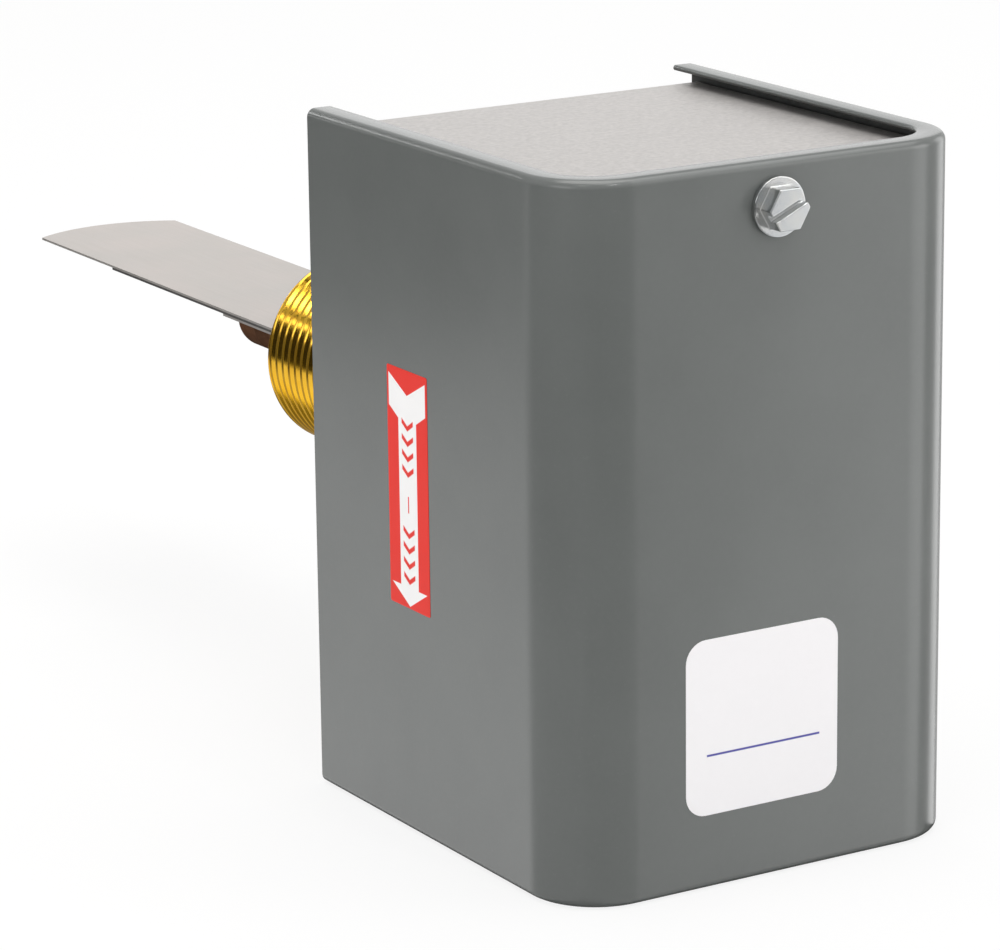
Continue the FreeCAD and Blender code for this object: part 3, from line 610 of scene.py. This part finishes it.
def enamel(name, colour):
    """Green screw enamel, darker in patches."""
    finish = Finish(name, IOR=1.5)
    where = finish.place()
    patch = finish.noise(where, 500.0, 4.0, 0.6)
    finish.set(Base_Color=finish.blend(patch, tone(colour, 0.7), tone(colour, 1.35)),
               Roughness=0.28 + patch * 0.18,
               Normal=finish.relief(patch, 0.02 * MM, 0.4, 0.2 * MM))
    return finish.material


def label_film(finish, where, shade):
    """Printed film's surface over its colour: satin, with a faint ripple."""
    ripple = finish.noise(where, 130.0, 2.0)
    tooth = finish.noise(where, 2500.0, 1.0)
    finish.set(Base_Color=shade,
               Roughness=0.36 + ripple * 0.10 + tooth * 0.05,
               Normal=finish.relief(ripple * 0.8 + tooth * 0.2, 0.01 * MM, 0.4))
    return finish.material


def bare_label(name, colour, rule_colour, rule):
    """White film with one plain thin rule, given as (left, right, height, thickness)."""
    left, right, height, thick = rule
    finish = Finish(name, IOR=1.46)
    where = finish.place(centre=((left + right) / 2, 0.0, height))
    x, _, z = finish.axes(where)
    inside = ((right - left) / 2 - abs(x)).least(thick / 2 - abs(z))
    mask = (inside * (4.0 / thick) + 0.5).clipped()
    speckle = finish.noise(where, 900.0, 2.0)
    ground = finish.blend(speckle, tone(colour, 0.985), colour)
    return label_film(finish, where, finish.blend(mask, ground, rule_colour))


def arrow_label(name, colour, arrow_colour, centre):
    """Red film with a white arrow that points down and plain red chevrons on its shaft.

    Lengths are in millimetres from the label's middle. Each part of the arrow is the
    least of its distances inside its own edges, and the arrow is the most of its parts.
    """
    tail_half, tail_low, notch, tail_tip, tail_slope = 5.6, 12.9, 15.3, 18.2, 0.58
    shaft_half, shoulder, overlap = 2.75, -15.9, 0.1
    head_half, head_tip = 5.4, -19.0
    chevron_half, chevron_pitch, chevron_slope, chevron_share = 1.75, 2.5, 0.62, 0.17
    row_half, upper_row, lower_row = 5.0, 6.25, -11.25
    dash_half, dash_reach, dash_middle = 0.16, 1.35, -2.35
    arrow_crisp, mark_crisp = 10.0, 12.0
    finish = Finish(name, IOR=1.46, Specular_IOR_Level=0.25)
    where = finish.place(centre=centre, stretch=(1 / MM,) * 3)
    _, across, along = finish.axes(where)
    out = abs(across)
    tail = (tail_half - out).least(
        out * ((tail_tip - notch) / tail_half) + (notch - along),
        along - (out * tail_slope + (tail_low - tail_slope * tail_half)))
    shaft = (shaft_half - out).least(notch - along, along - shoulder + overlap)
    head = (shoulder - along).least(
        (along - head_tip) * (head_half / (shoulder - head_tip)) - out)
    arrow = (tail.most(shaft, head) * arrow_crisp + 0.5).clipped()
    lead = along - out * chevron_slope
    step = lead / chevron_pitch
    ribbon = chevron_share - abs(step - step.math("ROUND"))
    rows = (row_half - abs(lead - upper_row)).most(row_half - abs(lead - lower_row))
    chevron = ribbon.least(chevron_half - out, rows)
    dash = (dash_half - out).least(dash_reach - abs(along - dash_middle))
    marks = (chevron.most(dash) * mark_crisp + 0.5).clipped()
    speckle = finish.noise(where, 0.9, 2.0)
    ground = finish.blend(speckle, tone(colour, 0.97), colour)
    print_colour = finish.blend(arrow * (1.0 - marks), ground, arrow_colour)
    return label_film(finish, finish.place(), print_colour)


# ---- Settings ----


def length(name, description, millimetres):
    return FloatProperty(name=name, description=description, default=millimetres * MM,
                         min=0.0, precision=5, unit="LENGTH")


def colour(name, description, value):
    return FloatVectorProperty(name=name, description=description, default=value,
                               min=0.0, max=1.0, size=3, subtype="COLOR")


class CoverSettings(bpy.types.PropertyGroup):
    """Painted cover and its screw."""

    sheet: length("Sheet", "Thickness of the cover's steel", 0.9)
    lip: length("Lip", "Width of the lips turned in at the top and bottom", 4.6)
    bend: length("Bend", "Outside radius of the lips' bend", 1.4)
    corner: length("Corner", "Outside radius of the two upright corners", 12.0)
    paint: colour("Paint", "Colour of the cover's paint", (0.126, 0.134, 0.130))
    screw_ease: length("Screw edges", "Rounding of the cover screw's edges", 0.16)


class LabelSettings(bpy.types.PropertyGroup):
    """Printed films on the cover."""

    film: length("Film", "Thickness of both labels", 0.08)
    front_side: length("Front label", "Width and height of the front label", 28.2)
    front_corner: length("Front corners", "Corner radius of the front label", 3.6)
    front_white: colour("White", "Colour of the front label", (0.90, 0.885, 0.90))
    rule_blue: colour("Rule", "Colour of the front label's rule", (0.06, 0.06, 0.35))
    arrow_width: length("Arrow width", "Width of the arrow label", 12.3)
    arrow_height: length("Arrow height", "Height of the arrow label", 38.7)
    arrow_corner: length("Arrow corners", "Corner radius of the arrow label", 0.35)
    arrow_red: colour("Red", "Colour of the arrow label", (0.86, 0.030, 0.018))
    arrow_white: colour("Arrow", "Colour of the arrow itself", (0.97, 0.96, 0.96))


class BodySettings(bpy.types.PropertyGroup):
    """Brass body and its threads."""

    pitch: length("Pitch", "Pitch of the pipe thread, 11.5 to the inch", 2.2087)
    depth: length("Thread depth", "Height of the pipe thread", 0.22)
    spigot_pitch: length("Spigot pitch", "Pitch of the spigot's thread", 1.5)
    spigot_depth: length("Spigot depth", "Height of the spigot's thread", 0.8)
    brass: colour("Brass", "Colour of the machined brass", (0.90, 0.545, 0.075))


class PaddleSettings(bpy.types.PropertyGroup):
    """Arm, paddles and bellows."""

    steel: colour("Shim", "Colour of the paddles' steel", (0.478, 0.450, 0.424))
    # The arm's colour is darkened to its look in shade: painted shade.
    bronze: colour("Bronze", "Colour of the arm", (0.115, 0.058, 0.034))
    bellows: colour("Bellows", "Colour of the bellows", (0.55, 0.33, 0.17))
    screws: colour("Screws", "Colour of the paddles' screws", (0.70, 0.69, 0.67))


class MechanismSettings(bpy.types.PropertyGroup):
    """Frame, bracket, springs and screws."""

    galvanised: colour("Galvanised", "Colour of the zinc-coated sheet", (0.525, 0.506, 0.494))
    zinc: colour("Zinc", "Colour of the plated screws", (0.84, 0.84, 0.82))
    wire: colour("Wire", "Colour of the spring wire", (0.42, 0.42, 0.43))
    nut: colour("Nut", "Colour of the spring nut's brass", (0.80, 0.58, 0.20))
    coils: IntProperty(name="Coils", description="Turns of the range spring", default=10,
                       min=2)


class SwitchSettings(bpy.types.PropertyGroup):
    """Snap switch and its terminals."""

    phenolic: colour("Phenolic", "Colour of the switch block", (0.024, 0.024, 0.026))
    laminate: colour("Laminate", "Colour of the switch's cover", (0.16, 0.07, 0.03))
    contacts: colour("Contacts", "Colour of the strips and terminals", (0.78, 0.58, 0.26))
    earth: colour("Earth screw", "Colour of the ground screw", (0.02, 0.20, 0.055))


class StageSettings(bpy.types.PropertyGroup):
    """Camera, floor and lights."""

    azimuth: FloatProperty(name="Azimuth", description="Camera's turn from the front",
                           default=math.radians(31.13), subtype="ANGLE")
    elevation: FloatProperty(name="Elevation", description="Camera's height over level",
                             default=math.radians(15.04), subtype="ANGLE")
    roll: FloatProperty(name="Roll", description="Camera's roll",
                        default=math.radians(-0.70), subtype="ANGLE")
    distance: length("Distance", "Camera to the point it looks at", 712.19)
    aim: FloatVectorProperty(name="Aim", description="Point that the camera looks at",
                             default=(-21.568 * MM, -76.173 * MM, -0.744 * MM),
                             precision=5, subtype="TRANSLATION", unit="LENGTH")
    lens: FloatProperty(name="Lens", description="Focal length on a 36 mm sensor",
                        default=162.07, min=10.0, unit="CAMERA")
    floor: colour("Floor", "Colour of the floor", (0.90, 0.90, 0.90))
    daylight: FloatProperty(name="Daylight", description="Strength of the even light",
                            default=0.70, min=0.0)


# ---- Operators ----


class FLOWSWITCH_OT_cover(bpy.types.Operator):
    """Build the painted cover from its section and finish its screw"""

    bl_idname = "flowswitch.cover"
    bl_label = "Cover"

    def execute(self, context):
        sizes = context.scene.flow_cover
        film = context.scene.flow_labels.film
        low, high = (np.array(corner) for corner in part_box("cover"))
        # Set in by a label's thickness, so that the labels end at the frame's box.
        low[1] += film
        high[0] -= film
        section = lipped_section(low[2], high[2], sizes.sheet, sizes.lip, sizes.bend)
        path, normals = case_path(high[0], low[1], high[1], sizes.corner)
        mesh = shaded(closed_mesh(carried(section, path, normals)))
        paint = painted_steel("cover_paint", sizes.paint, low, high, sizes.corner, sizes.sheet)
        add_piece(mesh, "cover_shell", "cover", paint, ("cover",))
        plate = zinc_plating("screw_plate", tone(context.scene.flow_mechanism.zinc, 0.78))
        eased("cover_screw", "cover_screw_head", "cover_screw", plate,
              sizes.screw_ease)
        return {"FINISHED"}


class FLOWSWITCH_OT_labels(bpy.types.Operator):
    """Lay the plain front label and the arrow label on the cover"""

    bl_idname = "flowswitch.labels"
    bl_label = "Labels"

    def execute(self, context):
        sizes = context.scene.flow_labels
        low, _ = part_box("cover")
        front_x, front_z = -2.3 * MM, -32.0 * MM
        arrow_y, arrow_z = -74.35 * MM, -1.35 * MM
        side = sizes.front_side
        grid = label_grid(side, side, sizes.front_corner, sizes.film)
        placed = np.stack([grid[..., 0] + front_x, low[1] + sizes.film - grid[..., 2],
                           grid[..., 1] + front_z], axis=-1)
        rule = (-12.6 * MM, 8.4 * MM, -36.5 * MM, 0.34 * MM)
        film = bare_label("front_label_film", sizes.front_white, sizes.rule_blue, rule)
        add_piece(closed_mesh(placed), "front_label", "cover", film)
        grid = label_grid(sizes.arrow_width, sizes.arrow_height, sizes.arrow_corner, sizes.film)
        placed = np.stack([low[0] + sizes.film - grid[..., 2], grid[..., 0] + arrow_y,
                           grid[..., 1] + arrow_z], axis=-1)
        film = arrow_label("arrow_label_film", sizes.arrow_red, sizes.arrow_white,
                           (0.0, arrow_y, arrow_z))
        add_piece(closed_mesh(placed), "arrow_label", "cover", film)
        return {"FINISHED"}


class FLOWSWITCH_OT_body(bpy.types.Operator):
    """Turn the brass body with its pipe thread, hexagon and threaded spigot"""

    bl_idname = "flowswitch.body"
    bl_label = "Brass body"

    def execute(self, context):
        sizes = context.scene.flow_body
        low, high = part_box("brass_body")
        spigot_end, thread_end = low[1], high[1]
        angles = np.linspace(0, math.tau, 204, endpoint=False)
        thread_start, relief_start, hex_start, bore_end, neck_start, flange_rear = (
            thread_end - run * MM for run in (25, 27.2, 43.2, 48.2, 51.2, 54.2))
        thread_r, end_r, groove_r, neck_r, flange_r, spigot_r, root_r, bore_r, spigot_bore = (
            radius * MM for radius in (16.7, 14.6, 15, 16, 19.5, 12, 11.2, 12.3, 6.2))
        flats, blunt, face_r = 38.1 * MM, 21.7 * MM, 18.5 * MM
        ease, chamfer, fillet = 0.15 * MM, 0.5 * MM, 0.6 * MM

        pipe_y = np.linspace(thread_start, thread_end, 260)
        pipe = thread_radius(pipe_y, angles, thread_r, sizes.pitch, sizes.depth, 0.7)
        pipe = np.minimum(pipe, (thread_r - chamfer + (thread_end - pipe_y))[:, None])

        spigot_y = np.linspace(spigot_end, flange_rear - 1.2 * MM, 120)
        spigot = thread_radius(spigot_y, angles, spigot_r, sizes.spigot_pitch,
                               sizes.spigot_depth)
        spigot = np.minimum(spigot, (root_r + (spigot_y - spigot_end))[:, None])

        cone = np.array([0.0, 0.3, 0.7, 1.2, 1.8, 2.4]) * MM
        limit = face_r + cone / math.tan(math.radians(30))
        cut_sides = np.minimum(hexagon_radius(angles, flats, blunt), limit[:, None])
        rings = [
            (spigot_y, spigot),
            ([flange_rear - 1.1 * MM, flange_rear], [root_r, root_r]),
            ([flange_rear, flange_rear + ease, neck_start - ease, neck_start],
             [flange_r - ease, flange_r, flange_r, flange_r - ease]),
            ([neck_start, neck_start + fillet, hex_start - fillet, hex_start],
             [neck_r + fillet, neck_r, neck_r, neck_r + fillet]),
            (hex_start + cone, cut_sides),
            (relief_start - cone[::-1], cut_sides[::-1]),
            ([relief_start, relief_start + chamfer, thread_start - 0.3 * MM],
             [groove_r + fillet, groove_r, groove_r]),
            (pipe_y, pipe),
            ([thread_end], [end_r]),
            ([thread_end, thread_end - chamfer, bore_end, bore_end, spigot_end],
             [bore_r + chamfer, bore_r, bore_r, spigot_bore, spigot_bore]),
        ]
        grid = turned_grid(rings, angles)
        mesh = shaded(closed_mesh(grid, wrap_v=True), 38)
        brass = machined_brass("machined_brass", sizes.brass)
        add_piece(mesh, "pipe_body", "base", brass, ("brass_body",))
        return {"FINISHED"}


class FLOWSWITCH_OT_paddle(bpy.types.Operator):
    """Finish the arm, its bellows and the three paddles"""

    bl_idname = "flowswitch.paddle"
    bl_label = "Paddle"

    def execute(self, context):
        colours = context.scene.flow_paddle
        # The medium paddle's edges are made much darker: a painted shadow line under the long
        # paddle.
        for node, edge in (("long_paddle", 0.85), ("medium_paddle", 0.18),
                           ("short_paddle", 0.8)):
            low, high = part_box(node)
            coat(shim_steel(node + "_shim", colours.steel, high[0] - low[0], edge), node)
        coat(zinc_plating("paddle_screw_steel", colours.screws, 0.12), "paddle_screws")
        # The arm's dark bronze colour is painted shade.
        coat(dull_bronze("arm_bronze_painted_shade", colours.bronze), "paddle_arm")
        coat(dull_bronze("bellows_bronze", colours.bellows, 0.28), "bellows")
        return {"FINISHED"}


class FLOWSWITCH_OT_mechanism(bpy.types.Operator):
    """Wind the range spring and finish the frame, bracket, lever and screws"""

    bl_idname = "flowswitch.mechanism"
    bl_label = "Mechanism"

    def execute(self, context):
        settings = context.scene.flow_mechanism
        sheet = galvanised_sheet("galvanised_sheet", settings.galvanised)
        plate = zinc_plating("zinc_plate", settings.zinc)
        wire = drawn_wire("spring_wire", settings.wire)
        coat(sheet, "back_frame", "mechanism_bracket", "main_lever")
        coat(plate, "body_locknut", "lever_washer", "lever_nut", "spring_stud",
             "bracket_screws")
        low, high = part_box("range_screw")
        pitch, plain_head, plain_tip = 0.794 * MM, 6 * MM, 0.3 * MM
        thread = ((low[0] + high[0]) / 2, (low[2] + high[2]) / 2, pitch,
                  low[1] + plain_head, high[1] - plain_tip)
        coat(zinc_plating("range_screw_zinc", settings.zinc, thread=thread), "range_screw")
        coat(wire, "pivot_pin", "screw_clip")
        coat(machined_brass("nut_brass", settings.nut, 0.16), "spring_nut")
        coat(enamel("earth_enamel", context.scene.flow_switch.earth), "ground_screw")
        self.wind_spring(settings, wire)
        return {"FINISHED"}

    def wind_spring(self, settings, wire):
        """Helix between the spring's ends: a close coil at each end, open ones between.

        It is cut at its middle into a front half and a rear half, which ride on no body.

        The turn number runs from 0 to the coil count, and y follows the integral of a
        pitch that is a little over one wire diameter at both ends and even in the middle.
        """
        low, high = (np.array(corner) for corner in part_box("range_spring"))
        thick, close, held = 1.2 * MM, 1.02, 1.5 * MM
        steps_a_turn, closed_turns, easing_turns = 36, 0.9, 0.5
        mean = (high[0] - low[0] - thick) / 2
        middle = (low + high) / 2
        turns = np.linspace(0, settings.coils, settings.coils * steps_a_turn + 1)
        inside = np.minimum(turns, settings.coils - turns)
        opened = np.clip((inside - closed_turns) / easing_turns, 0, 1)
        opened = opened * opened * (3 - 2 * opened)
        grown = np.concatenate([[0], np.cumsum((opened[1:] + opened[:-1]) / 2)])
        room = (high[1] - low[1]) - thick
        spare = room - close * thick * settings.coils
        y = low[1] + thick / 2 + close * thick * turns + spare * grown / grown[-1]
        line = np.stack([middle[0] + mean * np.cos(math.tau * turns), y,
                         middle[2] + mean * np.sin(math.tau * turns)], axis=-1)
        grid = wire_grid(line, thick / 2)
        half = len(turns) // 2
        for name, part, body, held_y in (
            ("range_spring_front", grid[:, :half + 1], "spring_seat", low[1] + held),
            ("range_spring_rear", grid[:, half:], "paddle", high[1] - held),
        ):
            mesh = shaded(closed_mesh(part), 50)
            piece = add_piece(mesh, name, None, wire, ("range_spring",))
            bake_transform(piece)


class FLOWSWITCH_OT_switch(bpy.types.Operator):
    """Finish the snap switch, its strips and its screws"""

    bl_idname = "flowswitch.switch"
    bl_label = "Snap switch"

    def execute(self, context):
        colours = context.scene.flow_switch
        coat(moulding("black_phenolic", colours.phenolic), "switch_body")
        coat(laminate("brown_laminate", colours.laminate), "switch_cover", "switch_plunger")
        coat(bpy.data.materials["zinc_plate"], "switch_cover_screws", "switch_screws")
        coat(machined_brass("contact_brass", colours.contacts, 0.16), "common_terminal",
             "upper_contact", "lower_contact", "terminal_screws", "contact_blade")
        return {"FINISHED"}


class FLOWSWITCH_OT_stage(bpy.types.Operator):
    """Set the camera, the floor and the studio light"""

    bl_idname = "flowswitch.stage"
    bl_label = "Stage"

    def execute(self, context):
        scene, stage = context.scene, context.scene.flow_stage
        scene.view_settings.view_transform = "Standard"
        self.set_camera(scene, stage)
        self.lay_floor(stage)
        self.light_world(scene, stage)
        self.hang_lights()
        self.set_cards()
        return {"FINISHED"}

    def set_camera(self, scene, stage):
        """Camera on its line of sight: right, up and back as the columns of its matrix."""
        turned, raised, rolled = stage.azimuth, stage.elevation, stage.roll
        ahead = Vector((math.sin(turned), math.cos(turned), 0.0))
        forward = ahead * math.cos(raised) - Vector((0.0, 0.0, math.sin(raised)))
        level = Vector((ahead.y, -ahead.x, 0.0))
        upright = level.cross(forward)
        right = level * math.cos(rolled) + upright * math.sin(rolled)
        up = right.cross(forward)
        data = bpy.data.cameras.new("studio_camera")
        data.sensor_width = 36.0
        data.lens = stage.lens
        data.clip_start = 0.01
        data.clip_end = 50.0
        camera = linked("studio_camera", data)
        turn = Matrix((right, up, -forward)).transposed().to_4x4()
        where = Vector(stage.aim) - forward * stage.distance
        camera.matrix_world = Matrix.Translation(where) @ turn
        scene.camera = camera

    def lay_floor(self, stage):
        """Level floor under the case, its colour lifted to white where it is looked at."""
        ground = CAD_BOX[0][2] - 0.1 * MM
        reach, lift = 4.0, 0.84
        finish = Finish("floor_paper", Roughness=0.9, Specular_IOR_Level=0.0)
        tooth = finish.noise(finish.place(), 30.0, 3.0)
        finish.set(Base_Color=finish.blend(tooth, tone(stage.floor, 0.995), stage.floor))
        seen = finish.node("ShaderNodeLightPath", {}, {}, "Is Camera Ray")
        glow = finish.node("ShaderNodeEmission", {}, {"Color": (1, 1, 1), "Strength": 1.0})
        both = finish.node("ShaderNodeMixShader", {}, {
            0: seen * lift, 1: Signal(finish, finish.shader.outputs[0]), 2: glow})
        finish.feed(finish.output.inputs["Surface"], both)
        floor = stage_quad("studio_floor", [
            (-reach, -reach, ground), (reach, -reach, ground), (reach, reach, ground),
            (-reach, reach, ground)], finish.material)
        floor.visible_glossy = False

    def light_world(self, scene, stage):
        """Even surround: white where it is seen or shines through, softer as light."""
        world = bpy.data.worlds.new("studio_surround")
        nodes = Nodes(world)
        camera, through = (nodes.node("ShaderNodeLightPath", {}, {}, ray)
                           for ray in ("Is Camera Ray", "Is Transmission Ray"))
        strength = nodes.span(camera.most(through), 0.0, 1.0, stage.daylight, 1.0)
        sky = nodes.node("ShaderNodeBackground", {}, {"Strength": strength})
        nodes.node("ShaderNodeOutputWorld", {}, {"Surface": sky})
        scene.world = world

    def hang_lights(self):
        """Soft boxes, each given by its place, side, power and colour."""
        aim = Vector((0.0, -0.06, 0.0))
        white, warm = (1.0, 1.0, 1.0), (1.0, 0.99, 0.97)
        boxes = (
            ("overhead", (0.1, 0.0, 1.5), 1.3, 15.0, warm),
            ("left", (-1.6, -0.5, 0.5), 0.9, 4.2, white),
            ("right", (1.4, -1.2, 0.6), 0.9, 7.2, (1.0, 0.99, 0.98)),
            ("key", (0.12, -1.09, 1.18), 0.12, 1.7, white),
            ("glint", (-0.75, -0.76, 1.19), 0.10, 0.7, white),
        )
        for name, place, side, power, shade in boxes:
            name = "light_" + name
            data = bpy.data.lights.new(name, "AREA")
            data.shape = "SQUARE"
            data.size = side
            data.energy = power
            data.color = shade
            light = linked(name, data)
            light.location = place
            light.rotation_euler = (aim - light.location).to_track_quat("-Z", "Y").to_euler()

    def set_cards(self):
        """Cards that only reflections see.

        Each is (name, middle, direction that it faces, width, height, strength). Where the
        strength changes with height, it is the strength at the bottom, the strength at the
        top, and the share of the height over which one becomes the other.
        """
        ground = CAD_BOX[0][2] - 0.5 * MM
        to_front, to_rear, to_left, to_right = (0, -1, 0), (0, 1, 0), (-1, 0, 0), (1, 0, 0)
        cards = (
            ("rear_dark", (-0.16, 0.25, 0.008), to_front, 0.18, 0.116, 0.03),
            ("rear_line", (-0.15, 0.25, 0.082), to_front, 0.20, 0.010, 4.0),
            ("rear_dim", (-0.40, 0.90, 0.42), to_front, 0.75, 0.74, 0.10),
            ("above_right", (0.60, -0.40, 0.95), to_left, 1.0, 0.40, 2.6),
            ("rear_high", (-0.20, 0.60, 0.307), to_front, 0.34, 0.055, 7.5),
            ("below_dark", (0.065, 0.25, -0.20), to_front, 0.27, 0.18, 0.22),
            ("side_dark", (-0.38, 0.50, -0.03), to_front, 0.34, 0.18, 0.30),
            ("side_light", (-0.335, 0.50, -0.285), to_front, 0.37, 0.33, 1.5, 0.9, 1.0),
            ("left_dark", (-0.75, -0.10, -0.225), to_right, 1.3, 0.9, 0.55, 0.13, 0.13),
            ("front_dark", (-0.18, -0.75, -0.19), to_rear, 1.15, 0.75, 0.42, 0.05, 0.18),
            ("front_light", (0.84, -0.75, -0.22), to_rear, 0.76, 0.75, 2.1),
            ("right_light", (0.505, -0.013, -0.13), (-0.978, -0.208, 0), 0.2, 0.8, 2.0),
            # The under card is a black sheet beneath the case: painted shade that the bottom
            # bend reflects.
            ("under", (0.0, -0.083, ground), (0, 0, 1), 0.074, 0.077, 0.0),
            ("rear_white", (0.44, 0.73, 0.24), (-0.5, -0.86, 0), 0.76, 0.40, 1.35),
        )
        for name, middle, facing, width, height, low, *change in cards:
            name = "card_" + name
            high, share = change or (low, 1.0)
            facing = Vector(facing)
            level = Vector((-facing.y, facing.x, 0.0)) if facing.z < 1 else Vector((1, 0, 0))
            across = level.normalized() * (width / 2)
            rise = facing.cross(level).normalized() * (height / 2)
            centre = Vector(middle)
            corners = [centre - across - rise, centre + across - rise,
                       centre + across + rise, centre - across + rise]
            finish = Finish(name + "_glow", Base_Color=(0.0, 0.0, 0.0), Roughness=1.0,
                            Specular_IOR_Level=0.0, Emission_Strength=1.0)
            _, _, z = finish.axes(finish.place(centre=middle))
            span = height / 2 * share
            glow = finish.span(z, -span, span, low, high)
            finish.set(Emission_Color=finish.node("ShaderNodeCombineColor", {}, {
                "Red": glow, "Green": glow, "Blue": glow}))
            card = stage_quad(name, corners, finish.material)
            card.visible_camera = False
            card.visible_diffuse = False
            card.visible_shadow = False
            card.visible_transmission = False


class FLOWSWITCH_PT_sidebar(bpy.types.Panel):
    """Flow switch pieces and their settings"""

    bl_label = "Paddle flow switch"
    bl_idname = "FLOWSWITCH_PT_sidebar"
    bl_space_type = "VIEW_3D"
    bl_region_type = "UI"
    bl_category = "Flow switch"

    def draw(self, context):
        for operator, group, _ in STEPS:
            box = self.layout.box()
            box.operator(operator.bl_idname)
            settings = getattr(context.scene, group)
            for name in settings.__annotations__:
                box.prop(settings, name)


STEPS = (
    (FLOWSWITCH_OT_cover, "flow_cover", CoverSettings),
    (FLOWSWITCH_OT_labels, "flow_labels", LabelSettings),
    (FLOWSWITCH_OT_body, "flow_body", BodySettings),
    (FLOWSWITCH_OT_paddle, "flow_paddle", PaddleSettings),
    (FLOWSWITCH_OT_mechanism, "flow_mechanism", MechanismSettings),
    (FLOWSWITCH_OT_switch, "flow_switch", SwitchSettings),
    (FLOWSWITCH_OT_stage, "flow_stage", StageSettings),
)


def register():
    for operator, name, group in STEPS:
        bpy.utils.register_class(group)
        setattr(bpy.types.Scene, name, PointerProperty(type=group))
        bpy.utils.register_class(operator)
    bpy.utils.register_class(FLOWSWITCH_PT_sidebar)


def unregister():
    bpy.utils.unregister_class(FLOWSWITCH_PT_sidebar)
    for operator, name, group in reversed(STEPS):
        bpy.utils.unregister_class(operator)
        delattr(bpy.types.Scene, name)
        bpy.utils.unregister_class(group)


def main():
    register()
    bpy.ops.flowswitch.cover()
    bpy.ops.flowswitch.labels()
    bpy.ops.flowswitch.body()
    bpy.ops.flowswitch.paddle()
    bpy.ops.flowswitch.mechanism()
    bpy.ops.flowswitch.switch()
    bpy.ops.flowswitch.stage()


if __name__ == "__main__":
    main()
